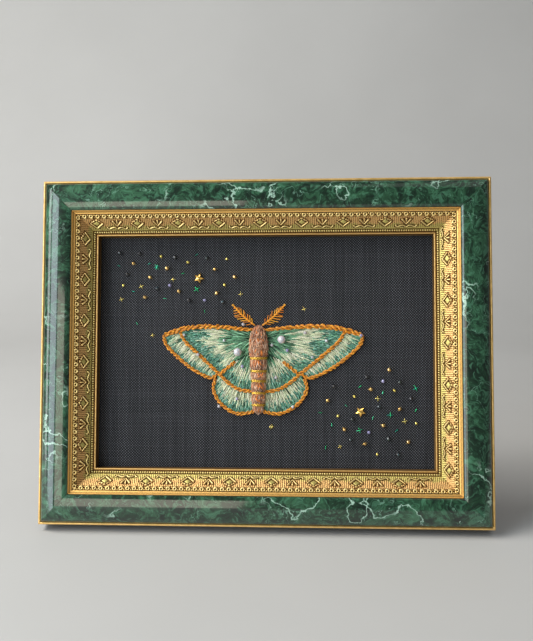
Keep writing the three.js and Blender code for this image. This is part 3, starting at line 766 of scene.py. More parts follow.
# %% [markdown]
# The studio is a pale floor that runs back and curves up into a wall. Two tall panes stand on the left, a cool one
# and a whiter one, where the photograph's window shines along the left moulding. A low warm card left of the
# camera is what the top and bottom mouldings mirror. A light high on the left and a weak one high on the right
# open up the shadows, and the room itself glows faintly.

# %% Floor and lights
def studio_wall():
    """A pale grey that clouds slowly, as painted board does."""
    f = Finish("studio_wall")
    greys = [(0.3, (0.49, 0.49, 0.48)), (0.7, (0.54, 0.54, 0.53))]
    return f.set(Base_Color=f.ramp(f.noise(3.0, 5), greys), Roughness=0.75)


floor_bend = ellipse_arc((0.45, 0.5), (0.5, 0.5), -90, 0, 17)
sweep_line = np.concatenate([[[-1.6, 0.0], [0.45, 0.0]], floor_bend[1:], [[0.95, 1.9]]])
wide = np.linspace(-2.2, 2.2, 9)
sweep = np.stack(np.broadcast_arrays(wide[:, None], sweep_line[None, :, 0], sweep_line[None, :, 1]), -1)
studio = bpy.data.meshes.new("studio_floor")
studio.from_pydata(sweep.reshape(-1, 3).tolist(), [], grid_faces(len(wide), len(sweep_line)).tolist())
studio.polygons.foreach_set("use_smooth", np.ones(len(studio.polygons), bool))
studio.materials.append(studio_wall())
floor = bpy.data.objects.new("studio_floor", studio)
bpy.context.scene.collection.objects.link(floor)


CENTRE = (0, 0, 0.09)
PANE_FAR, PANE_HIGH = 1.05, 0.45


def soft_light(name, place, size, power, colour):
    """A rectangular light at place, facing the middle of the frame, in metres and watts."""
    data = bpy.data.lights.new(name, "AREA")
    data.shape = "RECTANGLE"
    data.size, data.size_y = size
    data.energy = power
    data.color = colour
    light = bpy.data.objects.new(name, data)
    light.location = place
    light.rotation_euler = (Vector(CENTRE) - Vector(place)).to_track_quat("-Z", "Y").to_euler()
    bpy.context.scene.collection.objects.link(light)


def around(azimuth, distance, height):
    """A place round the object: azimuth in degrees from the front, to the left where it is positive."""
    return (-distance * math.sin(math.radians(azimuth)), -distance * math.cos(math.radians(azimuth)), height)


soft_light("window_pane", around(43, PANE_FAR, PANE_HIGH), (0.46, 0.95), 6.4, (0.82, 0.92, 1.0))
soft_light("side_pane", around(68, PANE_FAR, PANE_HIGH), (0.26, 0.95), 3.3, (0.97, 0.98, 1.0))
soft_light("warm_card", around(16.2, 1.2, 0.235), (0.46, 0.47), 1.9, (1.0, 0.94, 0.78))
soft_light("upper_left", (-1.05, -0.25, 1.25), (0.8, 0.7), 22, (1.0, 0.97, 0.92))
soft_light("right_fill", (0.75, -0.35, 1.5), (1.3, 1.3), 2.2, (1.0, 0.96, 0.92))
world = bpy.data.worlds.new("room")
world.use_nodes = True
room_glow = world.node_tree.nodes["Background"].inputs
room_glow["Color"].default_value = (0.93, 0.95, 1.0, 1)
room_glow["Strength"].default_value = 0.13
bpy.context.scene.world = world
bpy.context.scene.view_settings.view_transform = "Standard"

# %% [markdown]
# Everything on the moth is thread, and a thread is a round tube carried along a path. Thousands of them are made
# in one call: the paths are one array (threads, points along, xyz), and so are their rings. Each ring stands
# square to the path, with its first point at the underside, so that the seam of any pattern lies out of sight.

# %% Threads as tubes
def raised(flat, height):
    """Flat points (..., 2) with a height beside them."""
    return np.concatenate([flat, np.broadcast_to(height, flat.shape[:-1])[..., None]], -1)


def threads(name, paths, radii, colours, sides, finish):
    """Closed tubes, rounded in at both ends. Radii: one, or per thread or point. Colours: per thread or point."""
    paths = np.asarray(paths, float)
    count, length = paths.shape[:2]
    radii = np.asarray(radii, float)
    radii = np.broadcast_to(radii[:, None] if radii.ndim == 1 else radii, (count, length)).copy()
    radii[:, [0, -1]] *= 0.55
    ahead = np.gradient(paths, axis=1)
    ahead /= np.linalg.norm(ahead, axis=2, keepdims=True) + 1e-12
    upright = np.abs(ahead[..., 2:]) > 0.95
    reference = np.where(upright, [1.0, 0, 0], [0, 0, 1.0])
    beside = np.cross(ahead, reference)
    beside /= np.linalg.norm(beside, axis=2, keepdims=True)
    above = np.cross(beside, ahead)
    a = 2 * math.pi * np.arange(sides) / sides - math.pi / 2
    ring = np.cos(a)[:, None] * beside[:, :, None, :] + np.sin(a)[:, None] * above[:, :, None, :]
    points = paths[:, :, None, :] + radii[:, :, None, None] * ring
    side_quads = grid_faces(length, sides, close_columns=True)
    first = (np.arange(count) * length * sides)[:, None, None]
    quads = (side_quads[None] + first).reshape(-1, 4)
    cap = np.arange(sides)
    near = cap[None, :] + first[:, 0]
    far = cap[None, ::-1] + (length - 1) * sides + first[:, 0]
    piece = fill_mesh(name, leant(points.reshape(-1, 3)), [quads, near, far], [finish])
    colours = np.asarray(colours, float)
    if colours.ndim == 2:
        colours = np.broadcast_to(colours[:, None, :], (count, length, 3))
    paint_points(piece, "thread_colour", np.repeat(colours.reshape(-1, 3), sides, axis=0))
    paint_points(piece, "run_mm", np.repeat(distance_along(paths).ravel(), sides))
    paint_points(piece, "around", np.tile(np.arange(sides) / sides, count * length))
    return piece


def smooth_line(points):
    """A Catmull-Rom line through the points: each span's tangents are half the chord of its neighbours."""
    p = np.asarray(points, float)
    p = np.concatenate([2 * p[:1] - p[1:2], p, 2 * p[-1:] - p[-2:-1]])
    t = np.linspace(0, 1, 12, endpoint=False)[:, None]
    spans = []
    for a, b, c, d in zip(p[:-3], p[1:-2], p[2:-1], p[3:]):
        square, cube = 2 * a - 5 * b + 4 * c - d, 3 * b - a - 3 * c + d
        spans.append(0.5 * (2 * b + (c - a) * t + square * t ** 2 + cube * t ** 3))
    return np.concatenate(spans + [p[-2:-1]])


def inside(outline, points):
    """True where points (n, 2) lie in the closed outline: a ray to the right crosses it an odd number of times."""
    a, b = outline, np.roll(outline, -1, axis=0)
    x, y = points[:, 0, None], points[:, 1, None]
    spans = (a[:, 1] > y) != (b[:, 1] > y)
    with np.errstate(divide="ignore", invalid="ignore"):
        crossing = a[:, 0] + (y - a[:, 1]) * (b[:, 0] - a[:, 0]) / (b[:, 1] - a[:, 1])
    return np.sum(spans & (x < crossing), axis=1) % 2 == 1


def nearest_on(line, points):
    """Which point of a finely divided line is nearest to each of the points (n, 2), and how far away it is."""
    gap = np.linalg.norm(points[:, None, :] - line[None], axis=2)
    index = np.argmin(gap, axis=1)
    return index, gap[np.arange(len(points)), index]


# %% [markdown]
# Thread has its own finish. Stranded cotton is soft and a little silky along its length: the twist shows as
# slanting lines, whose grooves are painted darker as shade, light runs across them in a broad band, and the
# edges catch a thin sheen. Small flecks are painted lighter as highlight. Metal thread is a foil wound round a
# core, so its slanting lines are harder and it mirrors.

# %% Thread finishes
def thread_finish(name, twists, pitch, depth, rough, sheen, metal=0.0, fuzz=0.25):
    """Twist lines from how far along and how far around a point is, with painted shade in their grooves and
    painted highlight flecks; the colour comes from the thread itself.
    """
    f = Finish(name)
    run, around = f.attribute("run_mm"), f.attribute("around")
    turn = f.math("ADD", f.math("MULTIPLY", around, float(twists)), f.math("MULTIPLY", run, 1 / pitch))
    line = f.math("MULTIPLY_ADD", f.math("SINE", f.math("MULTIPLY", turn, 2 * math.pi)), 0.5, 0.5)
    strand = f.attribute("thread_colour", "Color")
    # A darker and a lighter copy of the thread's colour: painted shade and painted highlight.
    shade = f.node("ShaderNodeHueSaturation", {"Color": strand, "Saturation": 1.12, "Value": 0.55}).outputs[0]
    light = f.node("ShaderNodeHueSaturation", {"Color": strand, "Saturation": 0.95, "Value": 1.3}).outputs[0]
    flecked = f.noise(2200, 3, 0.7)
    # The grooves of the twist get the painted shade, and noise flecks the painted highlight.
    colour = f.mix(f.level(line, 0.0, 0.6), shade, strand)
    colour = f.mix(f.level(flecked, 0.5, 0.75, 0, 0.55), colour, light)
    height = f.math("MULTIPLY_ADD", flecked, fuzz, f.math("POWER", line, 0.6))
    f.set(Base_Color=colour, Roughness=rough, Metallic=metal, Normal=f.bump(height, depth, 0.00012))
    return f.set(Sheen_Weight=sheen, Sheen_Roughness=0.35, Sheen_Tint=(1.0, 0.97, 0.9))


FINE_THREAD = thread_finish("fine_thread", 2, 1.1, 0.5, 0.42, 0.12)
CORD_THREAD = thread_finish("cord_thread", 2, 1.7, 0.75, 0.45, 0.08)
METAL_THREAD = thread_finish("metal_thread", 2, 0.7, 0.8, 0.25, 0.0, 0.9, 0.1)
WOOL = thread_finish("wool_fibre", 1, 2.5, 0.3, 0.75, 0.8)
print("thread finishes:", [m.name for m in (FINE_THREAD, CORD_THREAD, METAL_THREAD, WOOL)])

# %% [markdown]
# The moth's drawing: a few smooth lines in millimetres from the middle of its body. The left side mirrors the
# right, and the two wings reach a little differently, as sewn by hand.

# %% The moth's lines
MOTH = np.array([-3.0, -3.8])
CLOTH_TOP = FABRIC_FRONT
COSTA = smooth_line([
    (2.7, 14.4), (8, 14.9), (19, 15.9), (26, 16.1), (33, 15.9), (38.5, 15.1), (43, 13.9), (48.6, 12),
])
MARGIN = smooth_line([
    (48.6, 12), (49.2, 10.6), (47.4, 6.4), (41.2, 0.4), (33.6, -5.2), (24.8, -9.2), (20.8, -7.3),
])
BAND = smooth_line([(40.9, 13.6), (37.6, 8.2), (30, 1.4), (20.4, -7), (15, -11.8), (9.6, -15), (3.2, -16)])
HIND_MARGIN = smooth_line([
    (21.9, -9.6), (22.7, -12), (23, -15), (20.6, -20.2), (16, -24.4), (10.4, -26.8), (4.4, -26.2), (1.8, -25.4),
])
SPUR = smooth_line([(11.8, -1.2), (19.4, -7.4)])
WING_SPLIT = smooth_line([(3.3, 2.9), (6.3, 1.9), (11.6, -1), (18.4, -7), (21.6, -10.2)])
BODY_STATIONS = np.array([
    (-27.1, 0.5), (-26.6, 1.3), (-25, 2.5), (-22.6, 2.9), (-19.7, 3.4), (-16.7, 3.2), (-13.8, 3.6),
    (-10.8, 3.4), (-8.4, 3.8), (-5.9, 3.6), (-3, 4.1), (0.4, 4.1), (1.6, 4.4), (5, 4.9), (9, 4.6),
    (13, 3.7), (15.6, 2.4), (16.5, 1.1), (16.9, 0.35),
])
SIDE_WORDS = (("left", -1, 0.96), ("right", 1, 1.04))


def on_wing(points, side, reach):
    """Moves a point of the drawing's right side to its own side, stretched by reach, in the picture."""
    points = np.array(points, float)
    x = points[..., 0] * (1 + (reach - 1) * np.clip(points[..., 0] / 30, 0, 1))
    points[..., 0] = side * x + MOTH[0]
    points[..., 1] += MOTH[1]
    return points


fore_zone = np.concatenate([COSTA, MARGIN[1:], WING_SPLIT[::-1], [(3.5, 6), (3.3, 9.5), (2.8, 13), (2.9, 14.2)]])
hind_root = [(1.8, -25), (2.3, -20), (2.3, -14), (2.7, -8), (3.0, -3), (3.2, 1.5)]
hind_zone = np.concatenate([WING_SPLIT, HIND_MARGIN, hind_root])
band_at_costa = np.concatenate([BAND[:1] + (0.4, 1.8), BAND])
print("a wing reaches", round(float(MARGIN[:, 0].max()), 1), "mm from the middle of the body")

# %% [markdown]
# Thread painting fills a wing with rows of long stitches that start between the stitches of the row before, so
# that colours run into each other. Places are scattered evenly with a little chance, and each gets a direction:
# away from the wing's root inside the band, and from the band to the margin outside it. Its colour follows how
# far out it starts, with a ragged edge that changes with the direction, which makes the pale streaks.

# %% Stitches of the wings
chance = np.random.default_rng(11)
ROOT = np.array([1.5, 10.5])
LEAF = np.array([[0.16, 0.40, 0.22], [0.22, 0.49, 0.29], [0.11, 0.31, 0.16], [0.29, 0.57, 0.36]])
TEAL = np.array([
    [0.11, 0.35, 0.25], [0.18, 0.46, 0.34], [0.34, 0.62, 0.48], [0.06, 0.22, 0.14], [0.23, 0.50, 0.31],
])
CREAM = np.array([[0.88, 0.90, 0.62], [0.78, 0.84, 0.56], [0.95, 0.94, 0.72], [0.66, 0.77, 0.50]])


def ragged(angle, seed):
    """A wandering edge between -1 and 1 as a function of direction, from a few sines of unrelated pitches."""
    coarse = np.sin(angle * 9.1 + seed) + np.sin(angle * 21.7 + 2.1 * seed)
    return (coarse + 0.8 * np.sin(angle * 47.3 + 3.7 * seed)) / 2.8


STITCH_SPACING = 0.6
BAND_SIDE = np.concatenate([band_at_costa, [(2, -17), (-6, 0), (0, 25), (41.6, 25)]])


def stitches_in(zone, outer_line, seed):
    """Paths (n, 6, 3), colours and radii for one wing, as drawn. The part inside the band lies in BAND_SIDE."""
    low, high = zone.min(axis=0), zone.max(axis=0)
    x, y = (np.arange(a, b, STITCH_SPACING) for a, b in zip(low, high))
    start = np.stack([a.ravel() for a in np.meshgrid(x, y)], -1)
    start += chance.uniform(-0.5, 0.5, start.shape) * STITCH_SPACING
    start = start[inside(zone, start)]
    count = len(start)
    band_index, band_gap = nearest_on(band_at_costa, start)
    out_gap = nearest_on(outer_line, start)[1]
    inner = inside(BAND_SIDE, start)
    from_root = start - ROOT
    root_gap = np.linalg.norm(from_root, axis=1)
    along = np.gradient(band_at_costa, axis=0)[band_index]
    heading = np.where(inner[:, None], from_root, leftward(along))
    heading /= np.linalg.norm(heading, axis=1, keepdims=True) + 1e-9
    root_share = (root_gap + 1.6) / (root_gap + band_gap)
    start -= heading * np.where(~inner & (band_gap < 2.0), 0.8, 0.0)[:, None]
    share = np.where(inner, root_share, (band_gap + 0.4) / (band_gap + out_gap))
    edge = ragged(np.arctan2(from_root[:, 1], from_root[:, 0]), seed)
    share = share + np.where(inner, 0.11, 0.07) * edge + chance.normal(0, 0.035, count)
    pick = chance.integers(0, 4, count)
    pale = np.where(inner, (share > 0.55) & (share < 0.75), share < 0.44)
    far = np.where(inner, share >= 0.75, share >= 0.44)
    stray = (chance.random(count) < 0.08) & inner & (share > 0.38) & (share < 0.84)
    tone = LEAF[pick] * chance.uniform(0.5, 1.35, (count, 1))
    tone[far] = TEAL[chance.integers(0, 5, far.sum())] * chance.uniform(0.45, 1.3, (far.sum(), 1))
    light = pale | stray
    tone[light] = CREAM[pick[light]] * chance.uniform(0.72, 1.08, (light.sum(), 1))
    angle = np.arctan2(heading[:, 1], heading[:, 0]) + chance.normal(0, 1, count) * np.where(far, 0.2, 0.055)
    long = np.where(far, chance.uniform(1.3, 2.6, count), chance.uniform(3.2, 6.0, count))
    thick = np.where(far, chance.uniform(0.17, 0.25, count), chance.uniform(0.2, 0.3, count))
    chosen = chance.random(count) < np.where(far, 1.0, np.where(light, 0.62, 0.5))
    heading = np.stack([np.cos(angle), np.sin(angle)], -1)
    t = np.linspace(0, 1, 6)
    bow = chance.normal(0, 0.05, count)
    flat = start[:, None] + heading[:, None] * (long[:, None] * t)[..., None]
    flat += leftward(heading)[:, None] * (bow[:, None] * np.sin(math.pi * t) * 2)[..., None]
    for trim in (0.66, 0.6, 0.6):
        out_of_zone = ~inside(zone, flat[:, -1])
        flat[out_of_zone] = flat[out_of_zone, :1] + (flat[out_of_zone] - flat[out_of_zone, :1]) * trim
    keep = inside(zone, flat[:, -1]) & chosen
    layer = chance.uniform(0, 0.5, count)
    lift = CLOTH_TOP + 0.05 + layer[:, None] + 0.2 * np.sin(math.pi * t) ** 0.7
    return raised(flat, lift)[keep], tone[keep], thick[keep]


def wing_base(name, zone, side, reach):
    """A thin pad under the stitches, in the shape of the wing, so that no cloth shows between the threads; its
    dark green is painted shade.
    """
    step = zone[np.concatenate([[True], np.linalg.norm(np.diff(zone, axis=0), axis=1) > 0.25])]
    outline = on_wing(step, side, reach)[::side]
    points = np.concatenate([raised(outline, CLOTH_TOP + z) for z in (0.02, 0.24)])
    return fill_mesh(name, leant(points), loft_faces(2, len(outline)), [SHADE_PAD])


def pad_finish():
    """Dark green, mottled and rough: painted shade, so that it reads as more thread in the shade."""
    f = Finish("stitched_ground_in_shade")
    colour = f.ramp(f.noise(900, 4), [(0.3, (0.02, 0.06, 0.035)), (0.7, (0.05, 0.13, 0.08))])
    return f.set(Base_Color=colour, Roughness=0.85, Normal=f.bump(f.noise(2200, 3), 0.6, 0.0002))


SHADE_PAD = pad_finish()
WINGS = (("forewing", fore_zone, MARGIN, 1.0), ("hindwing", hind_zone, HIND_MARGIN, 4.0))
for word, side, reach in SIDE_WORDS:
    for wing, zone, outer, seed in WINGS:
        paths, tones, radii = stitches_in(zone, outer, seed + side)
        paths[..., :2] = on_wing(paths[..., :2], side, reach)
        piece = threads(f"{wing}_stitches_{word}", paths, radii, tones, 5, FINE_THREAD)
        base = wing_base(f"{wing}_ground_{word}", zone, side, reach)
        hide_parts(f"{wing}_{word}")
        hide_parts(f"{wing}_{word}")
        print(piece.name, len(paths), "stitches,", triangle_count(piece), "triangles")

# %% [markdown]
# The outlines are cords sewn along the lines: two plies twisted together, each of four strands of floss that
# twist the other way. Across the line, a ply's middle is a cosine of the distance along and its height a sine,
# and each strand circles its ply in the same way. The hand shows: the turn and the thickness wander slowly.
# Strands deep between the plies are painted darker, as shade.

# %% Sewn cords
RUST = np.array([[0.84, 0.28, 0.012], [0.96, 0.37, 0.018], [0.68, 0.195, 0.008], [1.0, 0.47, 0.035]])
CORD_BASE = CLOTH_TOP + 0.3
STRANDS_IN_PLY = 4
PLAIN_CORD = dict(width=2.05, height=1.3, pitch=4.8)
BROAD_CORD = dict(width=2.75, height=1.7, pitch=6.2, slim=0.74)
SEWN_LINES = (
    ("front_edge", COSTA, BROAD_CORD, "costa_cord"), ("forewing_margin", MARGIN, PLAIN_CORD, "forewing_cords"),
    ("wing_band", BAND, PLAIN_CORD, "forewing_cords"), ("wing_spur", SPUR, PLAIN_CORD, "forewing_cords"),
    ("hindwing_margin", HIND_MARGIN, PLAIN_CORD, "hindwing_cord"),
)


def twisted_cord(line, width, height, pitch, slim=1.0):
    """Strand paths (n, m, 3) with radii and colours; slim is the share of its width where the line starts."""
    run = distance_along(line)
    at = np.linspace(0, run[-1], int(run[-1] / 0.2) + 2)
    x, y = np.interp(at, run, line[:, 0]), np.interp(at, run, line[:, 1])
    dx, dy = np.gradient(x), np.gradient(y)
    size = np.hypot(dx, dy)
    p = chance.uniform(0, 2 * math.pi, 6)
    turn = 2 * math.pi * at / pitch + 0.55 * np.sin(at * 0.7 + p[0]) + 0.3 * np.sin(at * 1.9 + p[1])
    to_end = np.clip(np.minimum(at, run[-1] - at) / width, 0, 1)
    swell = (0.7 + 0.3 * to_end ** 0.6) * (slim + (1 - slim) * np.clip(at / 24, 0, 1))
    swell *= 1 + 0.09 * np.sin(at * 1.1 + p[2]) + 0.06 * np.sin(at * 2.9 + p[3])
    paths, tones, radii = [], [], []
    for ply in (0, math.pi):
        a = turn + ply + 0.25 * np.sin(at * 1.5 + p[4] + ply)
        tint = 1 + 0.12 * np.sin(at * 0.9 + p[5] + ply)
        for k in range(STRANDS_IN_PLY):
            b = -1.7 * turn + 2 * math.pi * k / STRANDS_IN_PLY + ply * 0.4
            across = 0.24 * np.cos(a) + 0.13 * np.cos(b)
            up = 0.24 * np.sin(a) + 0.13 * np.sin(b)
            deep = np.clip(np.hypot(across, up) / 0.37, 0, 1)
            aside = width * swell * across
            z = CORD_BASE + height * (0.42 + swell * up)
            paths.append(np.stack([x - aside * dy / size, y + aside * dx / size, z], -1))
            radii.append(width * 0.125 * swell)
            # Strands near the cord's middle are painted darker, as shade.
            tones.append(RUST[(k + (ply > 0)) % len(RUST)] * (tint * (0.45 + 0.6 * deep ** 1.5))[:, None])
    return np.array(paths), np.array(radii), np.array(tones)


for word, side, reach in SIDE_WORDS:
    for part, line, how, replaced in SEWN_LINES:
        paths, radii, tones = twisted_cord(line, **how)
        paths[..., :2] = on_wing(paths[..., :2], side, reach)
        piece = threads(f"{part}_{word}", paths, radii, tones, 6, CORD_THREAD)
        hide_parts(f"{replaced}_{word}")
        print(piece.name, triangle_count(piece), "triangles")

# %% [markdown]
# The body is felted wool over a padded core, pinkish brown, with orange and dark tufts worked in along it and a
# haze of loose fibres at its edge. Its core is a loft: at every station along the body a half-oval stands on the
# cloth, as wide as the drawing says, and a noise of sines makes it lumpy.

# %% The padded body
BODY_FOOT, BODY_RISE, BODY_ROUND = CLOTH_TOP + 0.05, 0.98, 0.85


def body_half_width(y):
    """Half the body's width at a station, read off the drawing."""
    return np.interp(y, BODY_STATIONS[:, 0], BODY_STATIONS[:, 1])


stations = [np.linspace(-27.1, -25.6, 8), np.linspace(-25.3, 15.2, 130), np.linspace(15.4, 16.9, 8)]
stations = np.concatenate(stations)
arc = np.linspace(0, math.pi, 25)
half = body_half_width(stations)[:, None]
lumps = 1 + 0.045 * np.sin(stations[:, None] * 2.1 + 3 * np.cos(arc))
lumps += 0.035 * np.sin(stations[:, None] * 5.3 - 5 * np.cos(arc))
core_x = half * np.cos(arc) * lumps
core_z = BODY_FOOT + BODY_RISE * half * np.sin(arc) ** BODY_ROUND * lumps
core = np.stack([core_x, np.broadcast_to(stations[:, None], core_x.shape), core_z], -1)
sole = np.stack([half[:, 0] * 0, stations, np.full(len(stations), BODY_FOOT)], -1)[:, None]
core = np.concatenate([core, sole], 1)
core[..., :2] += MOTH


def wool_core():
    """Browns that follow a noise of tufts, with an orange blush here and there and fine fibres in the bump."""
    f = Finish("felted_wool")
    tuft = f.noise(420, 4, 0.6, 1.5)
    dark = [(0.36, (0.14, 0.06, 0.035)), (0.46, (0.36, 0.17, 0.09))]
    colour = f.ramp(tuft, dark + [(0.58, (0.56, 0.28, 0.16)), (0.7, (0.75, 0.48, 0.33))])
    blush = f.level(f.noise(170, 3), 0.5, 0.66, 0, 0.75)
    colour = f.mix(blush, colour, (0.76, 0.22, 0.06))
    fibre = f.noise(1700, 4, 0.7, 2.0)
    f.set(Base_Color=colour, Roughness=0.9, Normal=f.bump(f.math("ADD", fibre, tuft), 0.8, 0.0005))
    return f.set(Sheen_Weight=0.7, Sheen_Roughness=0.4, Sheen_Tint=(1.0, 0.8, 0.7))


faces = loft_faces(*core.shape[:2])
body_core = fill_mesh("moth_body_wool", leant(core.reshape(-1, 3)), faces, [wool_core()])
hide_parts("moth_body")


def on_body(y, angle, off=0.0):
    """A point of the body's surface at a station and an angle around it, off millimetres above it."""
    half = body_half_width(y)
    x = (half + off) * np.cos(angle)
    z = BODY_FOOT + (BODY_RISE * half + off) * np.sin(angle) ** BODY_ROUND
    return np.stack([x + MOTH[0], y + MOTH[1] + 0 * x, z], -1)


count = 2200
y0 = chance.uniform(-26.3, 16.2, count)
angle0 = np.arccos(chance.uniform(-0.98, 0.98, count))
drift = chance.normal(0, 0.5, count)
t = np.linspace(0, 1, 5)
reach_y = chance.uniform(0.7, 2.2, count) * np.where(chance.random(count) < 0.5, 1, -1)
away = chance.uniform(0.1, 0.6, count)
y_path = np.clip(y0[:, None] + reach_y[:, None] * t, -27, 16.7)
angle_path = np.clip(angle0[:, None] + drift[:, None] * t * 0.6, 0.06, math.pi - 0.06)
fuzz = on_body(y_path, angle_path, away[:, None] * t ** 1.5)
WOOL_TONES = np.array([
    [0.55, 0.29, 0.18], [0.70, 0.42, 0.27], [0.34, 0.15, 0.09], [0.76, 0.26, 0.06], [0.85, 0.60, 0.46],
])
piece = threads("body_fibres", fuzz, 0.035, WOOL_TONES[chance.integers(0, 5, count)], 3, WOOL)
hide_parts("moth_body")

# %% [markdown]
# The tufts are laid strand by strand between one waist and the next, lengthwise with a tilt of their own, and
# each rises in its middle, so every part of the body bulges between its windings. A sum of two sines of place
# sorts them into patches, dark, brown, tan, pale or orange; along both flanks it is halved, so they stay tan.

# %% Tufts of the body
WAISTS = (16.4, 0.4, -5.9, -10.8, -16.7, -22.6, -27.0)
TUFTS_PER_MM = 8.0
PATCH_EDGES = (-1.0, -0.6, 0.15, 0.5, 0.85)
TUFT_TONES = np.array([
    [0.13, 0.06, 0.04], [0.50, 0.16, 0.06], [0.56, 0.29, 0.17],
    [0.72, 0.42, 0.24], [0.88, 0.60, 0.44], [0.95, 0.27, 0.04],
])
t = np.linspace(0, 1, 8)
tufts, tones, thick = [], [], []
for top, low in zip(WAISTS[:-1], WAISTS[1:]):
    span = top - low
    count = int(TUFTS_PER_MM * span)
    long = np.minimum(chance.uniform(1.8, 4.2, count), span * 0.95)
    start_y = chance.uniform(low + 0.1, np.maximum(top - long - 0.1, low + 0.15))
    angle0 = np.arccos(chance.uniform(-0.93, 0.93, count))
    flank = np.abs(np.cos(angle0)) > 0.58
    tilt = chance.normal(0, 1, count) * np.where(flank, 0.12, 0.55)
    y_path = start_y[:, None] + long[:, None] * t * np.cos(tilt)[:, None]
    half = body_half_width(start_y + long / 2)[:, None]
    bend = np.sin(tilt)[:, None] * long[:, None] * (t - 0.5) / (half + 0.5)
    rise = -0.1 + chance.uniform(0.22, 0.5, count)[:, None] * np.sin(math.pi * t)
    tufts.append(on_body(y_path, np.clip(angle0[:, None] + bend, 0.12, math.pi - 0.12), rise))
    patch = np.sin(1.7 * start_y + 2.2 * np.sin(2.1 * angle0 + 0.5 * start_y))
    patch += 0.6 * np.sin(3.4 * angle0 + 2.3 * start_y)
    patch = patch * np.where(flank, 0.55, 1.0) + chance.normal(0, 0.28, count)
    tone = TUFT_TONES[np.digitize(patch, PATCH_EDGES)]
    tones.append(tone * chance.uniform(0.8, 1.1, (count, 1)))
    thick.append(chance.uniform(0.14, 0.29, count))
tufts, tones, thick = (np.concatenate(part) for part in (tufts, tones, thick))
piece = threads("body_tufts", tufts, thick, tones, 5, WOOL)
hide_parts("moth_body")
print("body:", triangle_count(body_core), "triangles in its core,", len(tufts), "tufts")

# %% [markdown]
# Gold thread is wound over the body at every waist but the two ends: three turns side by side, each a half-oval
# path over the body that goes down into the cloth on both sides.

# %% Gold windings
GOLD = np.array([0.96, 0.62, 0.13])
angle = np.linspace(0.0, math.pi, 25)
tones = np.stack([GOLD, GOLD * 0.88, GOLD * 1.02])
for number, y in enumerate(WAISTS[1:-1], 1):
    turns = []
    for shift in (-0.36, 0.0, 0.36):
        ring = on_body(np.full(25, y + shift), angle, 0.30)
        ring[:, 1] += 0.10 * np.sin(angle * 2 + number) + 0.05 * np.sin(angle * 5 + shift * 9)
        ring[:, 2] = np.maximum(ring[:, 2] - 0.04 * abs(shift), CLOTH_TOP + 0.03)
        turns.append(ring)
    piece = threads(f"gold_winding_{number}", turns, 0.22, tones, 8, METAL_THREAD)
    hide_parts(f"body_wrap_{number}")
print("gold windings at", WAISTS[1:-1])

# %% [markdown]
# The antennae are feathered: a stem of two strands, and along both sides short barbs that lean forward, longest
# in the lower half. Every barb is a single straight stitch. A small knot ends each antenna.

# %% Feathered antennae
ANTENNA_ROOT, ANTENNA_TIP = np.array([1.7, 16.6]), np.array([12.8, 26.8])
span = np.linalg.norm(ANTENNA_TIP - ANTENNA_ROOT)
way = (ANTENNA_TIP - ANTENNA_ROOT) / span
aside = leftward(way)
FLANKS = ((1, 3.5, 40), (-1, 4.3, 52))
t = np.linspace(0, 1, 14)
wave = np.sin(math.pi * t)
stem_line = ANTENNA_ROOT + t[:, None] * span * way - 0.55 * wave[:, None] * aside
for word, side, reach in SIDE_WORDS:
    strands, tones, radii = [], [], []
    for shift in (-0.2, 0.2):
        line = stem_line + shift * aside * np.cos(t * 9)[:, None]
        strands.append(raised(line, CLOTH_TOP + 0.34 + 0.05 * np.sin(t * 9 + shift * 9)))
        tones.append(RUST[1])
        radii.append(0.29)
    for at in np.linspace(0.12, 0.88, 9):
        for flank, longest, lean in FLANKS:
            length = longest * np.sin(math.pi * np.clip(at * 0.9 + 0.14, 0, 1)) * chance.uniform(0.85, 1.1)
            foot = ANTENNA_ROOT + at * span * way - 0.55 * math.sin(math.pi * at) * aside
            slant = math.radians(chance.normal(lean, 4))
            barb = math.cos(slant) * way + flank * math.sin(slant) * aside
            line = foot + t[:, None] * length * barb - 0.12 * wave[:, None] * way
            strands.append(raised(line, CLOTH_TOP + 0.24 + 0.12 * wave))
            tones.append(RUST[chance.integers(0, 4)] * chance.uniform(0.95, 1.2))
            radii.append(0.21)
    knot = ANTENNA_TIP + 0.34 * np.stack([np.cos(t * 9), np.sin(t * 9)], -1)
    strands.append(raised(knot, CLOTH_TOP + 0.2 + 0.5 * t))
    tones.append(RUST[3])
    radii.append(0.28)
    strands = np.array(strands)
    strands[..., :2] = on_wing(strands[..., :2], side, 1.0)
    piece = threads(f"feathered_antenna_{word}", strands, radii, tones, 6, CORD_THREAD)
    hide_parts(f"antenna_{word}")
print("antennae:", triangle_count(piece), "triangles each")

# %% [markdown]
# Beads, pearls and rivets are turned shapes: a profile of radius against height, spun round an axis. A seed bead
# is a short rounded tube, so its profile closes on itself round the hole. One bead is made once and set down many
# times: its points are turned by each place's own matrix, all in one product.

# %% Turned shapes
def spun_profile(profile, sides, closed):
    """Points and faces of a profile (radius, height) spun about z. A closed profile makes a ring with a hole."""
    a = 2 * math.pi * np.arange(sides) / sides
    points = np.stack([profile[:, 0] * np.cos(a)[:, None], profile[:, 0] * np.sin(a)[:, None],
                       np.broadcast_to(profile[:, 1], (sides, len(profile)))], -1)
    faces = [grid_faces(sides, len(profile), close_rows=True, close_columns=closed)]
    if not closed:
        n = len(profile)
        faces += [(np.arange(sides) * n)[None, ::-1], (np.arange(sides) * n + n - 1)[None, :]]
    return points.reshape(-1, 3), faces


def bead_shape(radius, hole, length):
    """A seed bead: its section is a rounded rectangle between the hole and the outside."""
    half, mid = length / 2, (radius + hole) / 2
    a = np.linspace(0, 2 * math.pi, 12, endpoint=False)
    r = mid + (radius - hole) / 2 * np.sign(np.cos(a)) * np.abs(np.cos(a)) ** 0.7
    z = half * np.sign(np.sin(a)) * np.abs(np.sin(a)) ** 0.7
    return spun_profile(np.stack([r, z], -1), 14, True)


